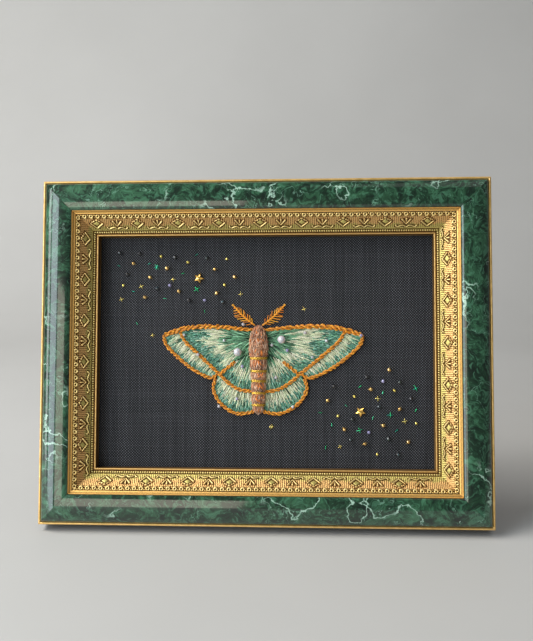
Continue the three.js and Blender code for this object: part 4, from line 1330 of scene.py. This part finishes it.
def facing(directions):
    """Turning matrices that carry z onto each direction (n, 3)."""
    d = np.asarray(directions, float)
    d = d / np.linalg.norm(d, axis=1, keepdims=True)
    other = np.where(np.abs(d[:, 2:]) > 0.9, [1.0, 0, 0], [0, 0, 1.0])
    x = np.cross(other, d)
    x /= np.linalg.norm(x, axis=1, keepdims=True)
    return np.stack([x, np.cross(d, x), d], -1)


def set_down(name, shape, spots, directions, sizes, colours, finish):
    """Copies of one shape: each point is turned, sized and moved by its own place."""
    points, faces = shape
    turned_points = np.einsum("nij,pj->npi", facing(directions), points) * np.asarray(sizes)[:, None, None]
    turned_points += np.asarray(spots, float)[:, None, :]
    first = np.arange(len(spots))[:, None, None] * len(points)
    faces = [(f[None] + first).reshape(-1, f.shape[1]) for f in faces]
    piece = fill_mesh(name, leant(turned_points.reshape(-1, 3)), faces, [finish])
    paint_points(piece, "own_colour", np.repeat(np.asarray(colours, float), len(points), axis=0))
    return piece


# %% [markdown]
# Finishes of the small things. Metal beads are plated and a little uneven. Glass beads are clear or dark with a
# bright surface. The pearls have the soft pink and green cast of nacre, drawn as a slow noise under a clear coat.

# %% Bead finishes
def plated():
    """Plating with its own colour, worn to a browner metal in patches."""
    f = Finish("plated_bead")
    worn = f.level(f.noise(1500, 3), 0.45, 0.7, 0, 0.4)
    colour = f.mix(worn, f.attribute("own_colour", "Color"), (0.35, 0.18, 0.05))
    rough = f.uneven(0.12, 0.25, 1100, 3)
    return f.set(Base_Color=colour, Metallic=1.0, Roughness=rough, Normal=f.bump(f.noise(1800, 3), 0.25, 0.0002))


def glass():
    """Milky glass: a third of the light goes through, and a clear coat mirrors the window."""
    f = Finish("glass_bead")
    cloud = f.level(f.noise(900, 3), 0.4, 0.7, 0, 0.35)
    colour = f.mix(cloud, f.attribute("own_colour", "Color"), (0.85, 0.86, 0.9), "SOFT_LIGHT")
    f.set(Base_Color=colour, Roughness=0.12, Transmission_Weight=0.3, IOR=1.5, Coat_Weight=0.8)
    return f.set(Coat_Roughness=0.03, Normal=f.bump(f.noise(700, 2), 0.1, 0.0002))


def nacre():
    """Pink, pale and bluish casts that follow one slow noise, under a clear coat."""
    f = Finish("nacre")
    casts = [(0.35, (0.60, 0.52, 0.56)), (0.5, (0.68, 0.63, 0.66)), (0.65, (0.55, 0.58, 0.62))]
    cast = f.ramp(f.noise(330, 3, 0.5, 1.0), casts)
    rough = f.uneven(0.14, 0.2, 900, 3)
    f.set(Base_Color=cast, Roughness=rough, Subsurface_Weight=0.12, Subsurface_Scale=0.001, Coat_Weight=0.7)
    return f.set(Coat_Roughness=0.12, Metallic=0.12, Normal=f.bump(f.noise(520, 3), 0.18, 0.0003))


def jet():
    """Nearly black glass with its own colour in patches, under a hard clear coat."""
    f = Finish("jet_bead")
    colour = f.mix(f.level(f.noise(700, 2), 0.45, 0.6), (0.002, 0.004, 0.005), f.attribute("own_colour", "Color"))
    f.set(Base_Color=colour, Roughness=0.12, Coat_Weight=1.0, Coat_Roughness=0.03, Coat_IOR=1.7)
    return f.set(Normal=f.bump(f.noise(900, 2), 0.15, 0.0002))


PLATED, GLASS, NACRE, JET = plated(), glass(), nacre(), jet()
PEARL_RADIUS, PEARL_LEVEL, PEARL_TONE = 2.0, -1.3, (0.9, 0.85, 0.85)
polar = np.linspace(0.10, math.pi - 0.10, 26)
pearl = spun_profile(np.stack([np.sin(polar), -np.cos(polar)], -1), 40, False)
for word, spot, axis in (("left", (-10.2, 3.4), (0.8, 0.5, 0.25)), ("right", (11.4, 9.6), (0.7, -0.6, 0.3))):
    place = [*(MOTH + spot), PEARL_LEVEL]
    piece = set_down(f"large_pearl_{word}", pearl, [place], [axis], [PEARL_RADIUS], [PEARL_TONE], NACRE)
    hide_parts(f"pearl_{word}")
print("a pearl has", triangle_count(piece), "triangles")

# %% [markdown]
# The night sky round the moth: gold seed beads, darker beads that show only as a glint, and the small beads that
# sit on the wings. A bead is sewn with the thread through its hole, so most of them lie on their side.

# %% Seed beads
GOLD_SPOTS = np.array([
    (-66, 44), (-57.5, 37), (-49, 41.5), (-43, 30), (-60, 27), (-24, 29), (-15, 37), (-25, 41),
    (31, -24), (39, -38), (52, -18.5), (58, -36), (66, -28), (49, -45), (70, -44), (61, -9),
])
SMALL_GOLD_SPOTS = np.array([
    (-71, 33), (-52, 47.5), (-38.5, 44.5), (-19, 46), (-20, 33),
    (36, -31.5), (44, -22), (63.5, -19), (55, -50), (74, -35),
])
DARK_SPOTS = np.array([
    (-63, 49), (-54, 31.5), (-45, 47), (-38, 25.5), (-29, 46.5), (-69, 38.5), (-21, 24.5), (-73, 49.5),
    (34, -17), (42, -43), (56, -27), (60.5, -42.5), (65, -50), (71.5, -23), (50, -12.5), (43, -33), (66, -15),
])
VIOLET_SPOTS = np.array([(-47.5, 33), (-30, 25.5), (51, -39.5), (58, -14.5)])
WING_SPOTS = np.array([
    (-7.6, 17.2), (-17, 9.2), (-8.0, -3.6), (-30, 2.2), (-10.5, -19.5), (-37, 12.0), (-19.5, -23.2),
    (23, 13.0), (6.6, 6.9), (14.2, 4.4), (26.5, 1.0), (17, -23.4), (50.4, 11.6), (33.5, 9.0), (8.6, -9.0),
])
GOLD_TONE, LEMON_TONE = (0.88, 0.60, 0.24), (0.92, 0.80, 0.22)
CLEAR, MILK, VIOLET = (0.62, 0.66, 0.70), (0.70, 0.65, 0.69), (0.42, 0.40, 0.68)
DARK_TONES = np.array([(0.012, 0.05, 0.045), (0.01, 0.012, 0.016), (0.02, 0.06, 0.075)])
ON_CLOTH, GOLD_SEWING = CLOTH_TOP + 0.02, (0.5, 0.35, 0.1)


def lying(count):
    """Directions of the holes: any way round, and tilted up a little."""
    way = chance.uniform(0, 2 * math.pi, count)
    return np.stack([np.cos(way), np.sin(way), chance.uniform(0.05, 0.5, count)], -1)


def sew_beads(name, spots, level, radius, colours, finish, thread_tone):
    """Beads at the given places and level, and the two ends of thread that go from each hole into the cloth."""
    n = len(spots)
    directions = lying(n)
    sizes = chance.uniform(0.92, 1.06, n)
    level = np.broadcast_to(level, n)
    places = raised(spots, level + radius)
    shape = bead_shape(radius, radius * 0.36, radius * 1.35)
    beads = set_down(name, shape, places, directions, sizes, colours, finish)
    unit = directions / np.linalg.norm(directions, axis=1, keepdims=True)
    t = np.linspace(-1, 1, 9)
    run = places[:, None, :] + unit[:, None, :] * (t[:, None] * radius * 1.45)
    run[..., 2] = np.where(np.abs(t) > 0.55, places[:, None, 2] - (np.abs(t) - 0.55) * 2.2 * radius, run[..., 2])
    run[..., 2] = np.maximum(run[..., 2], level[:, None] - 0.1)
    threads(f"{name}_thread", run, 0.13, np.tile(thread_tone, (n, 1)), 5, FINE_THREAD)
    return beads


def toned(colour, count):
    """One colour for each bead or stitch, an eighth lighter or darker at most."""
    return np.array(colour) * chance.uniform(0.88, 1.12, (count, 1))


tones = toned(GOLD_TONE, len(GOLD_SPOTS))
gold_beads = sew_beads("gold_seed_beads", GOLD_SPOTS, ON_CLOTH, 1.0, tones, PLATED, GOLD_SEWING)
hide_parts(*[f"seed_bead_{k}" for k in range(1, 17)])
tones = toned(LEMON_TONE, len(SMALL_GOLD_SPOTS))
sew_beads("small_gold_beads", SMALL_GOLD_SPOTS, ON_CLOTH, 0.76, tones, PLATED, GOLD_SEWING)
tones = DARK_TONES[chance.integers(0, 3, len(DARK_SPOTS))]
sew_beads("dark_beads", DARK_SPOTS, ON_CLOTH, 0.95, tones, JET, (0.03, 0.03, 0.04))
tones = toned(VIOLET, len(VIOLET_SPOTS))
sew_beads("violet_beads", VIOLET_SPOTS, ON_CLOTH, 0.8, tones, GLASS, (0.3, 0.3, 0.4))
wing_level = np.array([1.0, 0.8, 0.8, 1.4, 0.8, 0.8, 0.8, 1.0, 0.8, 0.8, 0.8, 0.8, 1.6, 0.8, 0.8]) + CLOTH_TOP
wing_tone = np.array([MILK, CLEAR, VIOLET])[[0, 1, 2, 0, 2, 1, 0, 0, 0, 2, 1, 0, 2, 1, 0]]
sew_beads("wing_beads", WING_SPOTS + MOTH, wing_level, 0.78, wing_tone, GLASS, (0.75, 0.75, 0.75))
all_spots = (GOLD_SPOTS, SMALL_GOLD_SPOTS, DARK_SPOTS, VIOLET_SPOTS, WING_SPOTS)
print("beads:", sum(len(spots) for spots in all_spots))

# %% [markdown]
# Two cast metal stars. The top of a star is ridged from its middle to each tip: on a polar grid the distance out
# is a share of the outline, and the height falls with that share, so the ridges and valleys come of themselves.

# %% Star charms
def star_shape(tip, notch, thick):
    """A closed star: rings of the outline shrunk towards the middle on top, a rounded rim, and a flat back."""
    corner = np.arange(11)
    radius = np.where(corner % 2 == 0, tip, notch)
    angle = corner * math.pi / 5
    corners = np.stack([radius * np.cos(angle), radius * np.sin(angle)], -1)
    t = np.linspace(0, 1, 9, endpoint=False)[:, None]
    outline = np.concatenate([a + (b - a) * t for a, b in zip(corners[:-1], corners[1:])])
    share = np.array([0.06, 0.25, 0.45, 0.65, 0.8, 0.92, 0.97, 1.0, 1.0, 0.97, 0.93])
    height = np.array([0.98, 0.93, 0.84, 0.74, 0.66, 0.58, 0.53, 0.45, 0.12, 0.04, 0.0]) * thick
    flat = outline * share[:, None, None]
    return raised(flat, height[:, None]).reshape(-1, 3), loft_faces(len(share), len(outline))


star_points, faces = star_shape(2.9, 1.3, 1.4)
print("a star has", len(star_points), "points")
for number, (spot, turn) in enumerate((((-33, 36.5), 1.2), ((47, -29.5), 2.2)), 1):
    points = spun(star_points, math.degrees(turn)) + (*spot, CLOTH_TOP + 0.15)
    piece = fill_mesh(f"metal_star_{number}", leant(points), faces, [PLATED], sharp=22)
    paint_points(piece, "own_colour", np.tile((0.90, 0.58, 0.16), (len(points), 1)))
    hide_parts(f"star_charm_{number}")
    bar = np.linspace(-1, 1, 9)
    way = np.array([math.cos(turn + 0.6), math.sin(turn + 0.6)])
    line = np.array(spot) + bar[:, None] * 1.75 * way
    height = CLOTH_TOP + 1.72 - 1.5 * np.abs(bar) ** 3.5
    tone = [(0.7, 0.5, 0.15)]
    threads(f"metal_star_thread_{number}", [raised(line, height)], 0.14, tone, 6, METAL_THREAD)

# %% [markdown]
# Crosses, small stars and single stitches in metallic thread, scattered by hand. Each arm is one straight stitch
# that comes up at one end and goes down at the other; where arms cross, the later one lies on the earlier.

# %% Stitched stars
GOLD_CROSSES = [(-46, 36, 0.1, 2), (-62, 32.5, 0.5, 2), (-12, 28.5, 0.0, 2), (3.5, -37, 0.2, 3),
                (19.5, 21, 0.3, 2), (55.5, -23, 0.0, 2), (37, -46.5, 0.4, 2), (68.5, -34, 0.2, 2),
                (-72, 26, 0.3, 2), (-56, 8, 0.2, 2)]
GREEN_STARS = [(-54.3, 42.3, 0.2, 3), (46.5, -38.5, 0.3, 2), (61.5, -31, 0.0, 2), (74, -18, 0.4, 2),
               (-34, 31, 0.6, 2)]
GREEN_STITCHES = [(-58, 44), (-50, 26.5), (-41, 39), (-66, 30), (-34, 48.5), (-73.5, 43), (-30, 20), (-64, 14),
                  (40, -26.5), (53, -32.5), (47, -17), (58, -20), (33, -36), (74, -28.5), (64.5, -38.5),
                  (27.5, -30), (30, -47)]
GREEN_TONES = np.array([[0.05, 0.66, 0.26], [0.06, 0.60, 0.44], [0.16, 0.85, 0.50]])


def star_arms(spot, turn, arms, reach):
    """The arms of a stitched star: straight stitches through its middle, evenly turned, each over the last."""
    t = np.linspace(-1, 1, 7)
    made = []
    for k in range(arms):
        a = turn + math.pi * k / arms
        long = reach * chance.uniform(0.85, 1.12)
        z = CLOTH_TOP + 0.05 + (0.17 + 0.13 * k) * np.sqrt(np.clip(1 - t ** 6, 0, 1))
        made.append(np.stack([spot[0] + long * t * math.cos(a), spot[1] + long * t * math.sin(a), z], -1))
    return made


gold_paths = [arm for x, y, turn, arms in GOLD_CROSSES for arm in star_arms((x, y), turn, arms, 1.45)]
gold_tones = toned((1.0, 0.84, 0.30), len(gold_paths))
threads("gold_crosses", gold_paths, 0.17, gold_tones, 6, METAL_THREAD)
green_paths = [arm for x, y, turn, arms in GREEN_STARS for arm in star_arms((x, y), turn, arms, 1.7)]
for x, y in GREEN_STITCHES:
    green_paths += star_arms((x, y), chance.uniform(0, math.pi), 1, 0.95)
green_tones = GREEN_TONES[chance.integers(0, 3, len(green_paths))]
threads("green_stitches", green_paths, 0.19, green_tones, 6, METAL_THREAD)
print("stitched stars:", len(GOLD_CROSSES) + len(GREEN_STARS), "single stitches:", len(GREEN_STITCHES))

# %% [markdown]
# The back. A flat plate with rounded edges is an outline drawn in by a quarter circle at each face. That one
# shape makes the backing board, the bent tabs, the hinge's plates and the leg.

# %% Rounded plates
def drawn_in(outline, inset):
    """A convex outline with every edge moved inwards by inset; corners go along the bisector."""
    before, after = np.roll(outline, 1, axis=0), np.roll(outline, -1, axis=0)
    first = (outline - before) / np.linalg.norm(outline - before, axis=1, keepdims=True)
    second = (after - outline) / np.linalg.norm(after - outline, axis=1, keepdims=True)
    bisector = leftward(first) + leftward(second)
    bisector /= np.sum(bisector * leftward(first), axis=1, keepdims=True)
    return outline + bisector * inset


def rounded_corners(outline, radius, steps=5):
    """Each corner of a convex outline, drawn anticlockwise, replaced by an arc of that radius."""
    outline = np.asarray(outline, float)
    centres = drawn_in(outline, radius)
    made = []
    for k, c in enumerate(centres):
        before, after = outline[k - 1], outline[(k + 1) % len(outline)]
        d1, d2 = outline[k] - before, after - outline[k]
        a1 = math.atan2(d1[1], d1[0]) - math.pi / 2
        a2 = math.atan2(d2[1], d2[0]) - math.pi / 2
        a2 += 2 * math.pi if a2 < a1 else 0
        made.append(ellipse_arc(c, (radius, radius), math.degrees(a1), math.degrees(a2), steps))
    return np.concatenate(made)


def rounded_edge(low, high, edge, steps=4):
    """Pairs of inset and level: edge x (1 - sin) in, edge x (1 - cos) up, and the same back at the other face."""
    a = np.linspace(0, math.pi / 2, steps)
    insets = np.concatenate([edge * (1 - np.sin(a)), edge * (1 - np.cos(a))])
    levels = np.concatenate([low + edge * (1 - np.cos(a)), high - edge * (1 - np.sin(a))])
    return list(zip(insets, levels))


def plate_shape(outline, low, high, edge):
    """A closed plate between two levels, with its edges rounded by a quarter circle."""
    rings = [raised(drawn_in(outline, inset), level) for inset, level in rounded_edge(low, high, edge)]
    return np.concatenate(rings), loft_faces(len(rings), len(outline), inside_out=True)


def joined(shapes):
    """Several closed shapes as one: their points in a row, and the face numbers moved along."""
    points, faces, first = [], [], 0
    for p, f in shapes:
        points.append(p)
        faces += [part + first for part in f]
        first += len(p)
    return np.concatenate(points), faces


def moved(shape, matrix=None, by=(0, 0, 0)):
    """A shape turned by a matrix, if there is one, and shifted."""
    points, faces = shape
    return (points if matrix is None else points @ np.asarray(matrix, float).T) + np.asarray(by, float), faces


def along_x(shape):
    """A shape spun about z, laid so that its axis is x."""
    return moved(shape, [[0, 0, 1], [0, 1, 0], [-1, 0, 0]])


def rectangle(x0, x1, y0, y1):
    """The four corners, anticlockwise."""
    return np.array([(x0, y0), (x1, y0), (x1, y1), (x0, y1)], float)


def dome_head(radius, height):
    """A rivet's or pin's domed head, on the plane z = 0 and growing towards -z."""
    a = np.linspace(0.04, math.pi / 2, 7)
    profile = np.stack([radius * np.sin(a), -height * np.cos(a)], -1)
    profile = np.concatenate([profile, [[radius * 0.98, 0.15]]])
    return spun_profile(profile, 20, False)


# %% [markdown]
# The back is plain: flecked hardboard, brass for the hinge, zinc-coated steel for the tabs, and black paper with
# a leather grain on the leg. Drawn metal has faint lines one way; a noise makes them when it is read at places
# that are squeezed in that direction.

# %% Back finishes
def board():
    """Brown flecks with paler strands of fibre laid over them."""
    f = Finish("backing_board")
    fleck = f.noise(700, 5, 0.7)
    colour = f.ramp(fleck, [(0.3, (0.16, 0.095, 0.05)), (0.6, (0.26, 0.165, 0.09)), (0.8, (0.36, 0.25, 0.15))])
    strand = f.level(f.noise(1500, 3, 0.6, 1.0, f.stretched(1.0, 0.25, 1.0)), 0.55, 0.66, 0, 0.4)
    colour = f.mix(strand, colour, (0.42, 0.31, 0.2))
    return f.set(Base_Color=colour, Roughness=0.72, Normal=f.bump(fleck, 0.35, 0.0003))


def metal(name, light, dark, rough):
    """Metal that tarnishes from light to dark in clouds, with fine drawn scratches in roughness and bump."""
    f = Finish(name)
    colour = f.mix(f.level(f.noise(160, 5, 0.6), 0.4, 0.7), light, dark)
    scratched = f.noise(2600, 3, 0.6, vector=f.stretched(0.08, 1.0, 1.0))
    roughness = f.math("MULTIPLY_ADD", scratched, 0.22, rough)
    return f.set(Base_Color=colour, Metallic=1.0, Roughness=roughness, Normal=f.bump(scratched, 0.12, 0.0002))


def covered_board():
    """Black paper with a fine leather grain over board, a little worn in patches."""
    f = Finish("covered_board")
    cells = f.node("ShaderNodeTexVoronoi", {"Vector": f.place(), "Scale": 1300.0}, feature="DISTANCE_TO_EDGE")
    grain = f.math("ADD", f.level(cells.outputs[0], 0.0, 0.25), f.math("MULTIPLY", f.noise(2500, 3), 0.4))
    colour = f.ramp(f.noise(90, 5), [(0.3, (0.010, 0.010, 0.011)), (0.7, (0.022, 0.021, 0.022))])
    colour = f.mix(f.level(f.noise(700, 4), 0.62, 0.75, 0, 0.3), colour, (0.07, 0.065, 0.06))
    return f.set(Base_Color=colour, Roughness=0.58, Normal=f.bump(grain, 0.35, 0.00025))


def card_paper():
    """Greyboard: clouded grey with a fine tooth."""
    f = Finish("card_paper")
    colour = f.ramp(f.noise(500, 5), [(0.3, (0.36, 0.35, 0.33)), (0.7, (0.48, 0.47, 0.44))])
    return f.set(Base_Color=colour, Roughness=0.85, Normal=f.bump(f.noise(1800, 3), 0.3, 0.0002))


BOARD, COVERED, CARD = board(), covered_board(), card_paper()
BRASS = metal("brass", (0.70, 0.47, 0.17), (0.46, 0.29, 0.09), 0.2)
STEEL = metal("zinc_steel", (0.58, 0.59, 0.60), (0.36, 0.37, 0.38), 0.28)
print("back finishes:", [m.name for m in (BOARD, COVERED, CARD, BRASS, STEEL)])

# %% [markdown]
# The backing board closes the frame behind the card, and six flat steel tabs are bent over its edges to hold it
# in. Both are rounded plates at the model's sizes. A tab is made once, with its dimple, and is spun and shifted
# to each of its six places.

# %% Backing board and tabs
PANEL = (88.6, 63.2)
BOARD_FRONT, BOARD_BACK, TAB_FRONT, TAB_BACK = -7.6, -10.6, -10.9, -11.4
outline = rounded_corners(rectangle(-PANEL[0], PANEL[0], -PANEL[1], PANEL[1]), 1.2)
points, faces = plate_shape(outline, BOARD_BACK, BOARD_FRONT, 0.35)
piece = fill_mesh("hardboard_back", leant(points), faces, [BOARD], sharp=40)
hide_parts("backing_board")
frame["nodes"]["mount_card"].data.materials.clear()
frame["nodes"]["mount_card"].data.materials.append(CARD)

TAB_SPOTS = ((-52, PANEL[1], 0), (52, PANEL[1], 0), (-52, -PANEL[1], 180), (52, -PANEL[1], 180),
             (-PANEL[0], 0, 90), (PANEL[0], 0, -90))
tab_outline = rounded_corners([(-2.5, -9), (-1.25, -11), (1.25, -11), (2.5, -9), (2.5, 0), (-2.5, 0)], 0.4, 4)
dimple = moved(dome_head(0.9, 0.3), by=(0, -7.5, TAB_BACK + 0.05))
tab_points, faces = joined([plate_shape(tab_outline, TAB_BACK, TAB_FRONT, 0.12), dimple])
for number, (x, y, turn) in enumerate(TAB_SPOTS, 1):
    points = spun(tab_points, turn) + (x, y, 0)
    piece = fill_mesh(f"bent_tab_{number}", leant(points), faces, [STEEL], sharp=40)
    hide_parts(f"retaining_tab_{number}")
print("tabs:", number)

# %% [markdown]
# The bracket is a brass plate on the backing board, held by four rivets, with two ears that carry the pin. The
# pieces never move against each other, so they are one mesh: plates, domed heads and a turned pin, joined.

# %% Hinge bracket
PLATE_FRONT, PLATE_BACK = -10.9, -11.7
LEAF_HALF, LEAF_LONG, LEAF_THICK = 7.0, 22.0, 0.8
PIN_RADIUS, BORE, KNUCKLE = 0.8, 1.1, 1.7
AXIS_LEVEL, AXIS_HEIGHT = HINGE[2], HINGE[1]
EAR_OUTLINE = [(-2, 0.2), (-2, -2.6), (-1.2, -3.6), (1.2, -3.6), (2, -2.6), (2, 0.2)]
base_outline = rounded_corners(rectangle(-14, 14, AXIS_HEIGHT - 9, AXIS_HEIGHT + 9), 2.0, 7)
parts = [plate_shape(base_outline, PLATE_BACK, PLATE_FRONT, 0.15)]
for x in (-11, 11):
    for y in (-6, 6):
        parts.append(moved(dome_head(1.5, 0.6), by=(x, AXIS_HEIGHT + y, PLATE_BACK)))
for sign in (-1, 1):
    low, high = sorted((sign * (LEAF_HALF + 0.4), sign * (LEAF_HALF + 1.4)))
    points, faces = plate_shape(rounded_corners(EAR_OUTLINE, 0.3, 4), low, high, 0.12)
    points = np.stack([points[:, 2], AXIS_HEIGHT + points[:, 0], PLATE_BACK + points[:, 1]], -1)
    parts.append((points, faces))
pin_profile = np.array([(0.05, -8.5), (PIN_RADIUS, -8.45), (PIN_RADIUS, 8.45), (0.05, 8.5)])
head_profile = np.array([(0.05, -9.3), (0.7, -9.2), (1.15, -8.8), (1.2, -8.42), (0.75, -8.42)])
far_head_profile = head_profile[::-1] * (1, -1)
for profile_points in (pin_profile, head_profile, far_head_profile):
    parts.append(moved(along_x(spun_profile(profile_points, 24, False)), by=(0, AXIS_HEIGHT, AXIS_LEVEL)))
points, faces = joined(parts)
piece = fill_mesh("brass_bracket", leant(points), faces, [BRASS], sharp=40)
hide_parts("hinge_bracket")
print("the bracket joins", len(parts), "shapes")

# %% [markdown]
# The leaf turns on the pin and carries the leg. Its short tail beyond the knuckle meets the bracket's plate when
# the leg is open, which is the hinge's stop. Leaf and leg are made hanging straight down from the pin, and
# leg_place turns them open. The leg's end is cut at the angle at which it meets the table, so every level of the
# board has an outline of its own length, and its faces are those of a loft.

# %% Hinge leaf and leg
RIVET_SPOTS = ((-4, -8), (4, -8), (0, -17))
LEG_EDGE = 0.5
AXIS_FROM_PLATE = PLATE_BACK - AXIS_LEVEL
stop_tail = (AXIS_FROM_PLATE - 0.1 - LEAF_THICK / 2 * math.cos(OPEN_ANGLE)) / math.sin(OPEN_ANGLE)
leaf_outline = rounded_corners(rectangle(-LEAF_HALF, LEAF_HALF, -LEAF_LONG, -1.45), 0.5, 4)
stop_outline = rounded_corners(rectangle(-LEAF_HALF, LEAF_HALF, 1.45, stop_tail - 0.02), 0.3, 4)
knuckle_profile = np.array([
    (BORE, -6.9), (BORE + 0.1, -7.0), (KNUCKLE - 0.15, -7.0), (KNUCKLE, -6.85), (KNUCKLE, -0.12),
    (KNUCKLE - 0.12, 0.0), (KNUCKLE, 0.12), (KNUCKLE, 6.85), (KNUCKLE - 0.15, 7.0), (BORE + 0.1, 7.0), (BORE, 6.9),
])
parts = [
    plate_shape(leaf_outline, -LEAF_THICK / 2, LEAF_THICK / 2, 0.12),
    plate_shape(stop_outline, -LEAF_THICK / 2, LEAF_THICK / 2, 0.12),
    along_x(spun_profile(knuckle_profile, 32, True)),
]
flip = np.diag([1.0, -1.0, -1.0])
for x, y in RIVET_SPOTS:
    parts.append(moved(dome_head(1.3, 0.5), flip, by=(x, y, LEAF_THICK / 2)))
points, faces = joined(parts)
piece = fill_mesh("brass_leaf", leg_place(points), faces, [BRASS], "leg", 40)
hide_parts("hinge_leaf")

LEG_TOP, LEG_INNER, LEG_OUTER, HALF_TOP, HALF_FOOT = 2.6, 0.7, 3.7, 11.0, 18.0
from_vertical = OPEN_ANGLE - LEAN
axis_above_table = hinge_in_model[2] / MM


def foot_at(depth):
    """How far down the leg the table lies, for a depth behind the pin."""
    return (axis_above_table + depth * math.sin(from_vertical)) / math.cos(from_vertical)


rings = []
for inset, depth in rounded_edge(LEG_INNER, LEG_OUTER, LEG_EDGE, 5):
    foot = foot_at(depth)
    corners = [(-HALF_FOOT, -foot), (HALF_FOOT, -foot), (HALF_TOP, -LEG_TOP), (-HALF_TOP, -LEG_TOP)]
    rings.append(raised(drawn_in(rounded_corners(corners, 1.5, 6), inset), -depth))
faces = loft_faces(len(rings), len(rings[0]))
piece = fill_mesh("easel_leg_board", leg_place(np.concatenate(rings)), faces, [COVERED], "leg", 40)
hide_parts("easel_leg")
points, faces = joined([moved(dome_head(1.4, 0.5), by=(x, y, -LEG_OUTER)) for x, y in RIVET_SPOTS])
fill_mesh("leg_rivets", leg_place(points), faces, [BRASS], "leg", 40)
print("leg foot at", np.round(leg_place([[0, -foot_at(LEG_OUTER), -LEG_OUTER]]), 4))
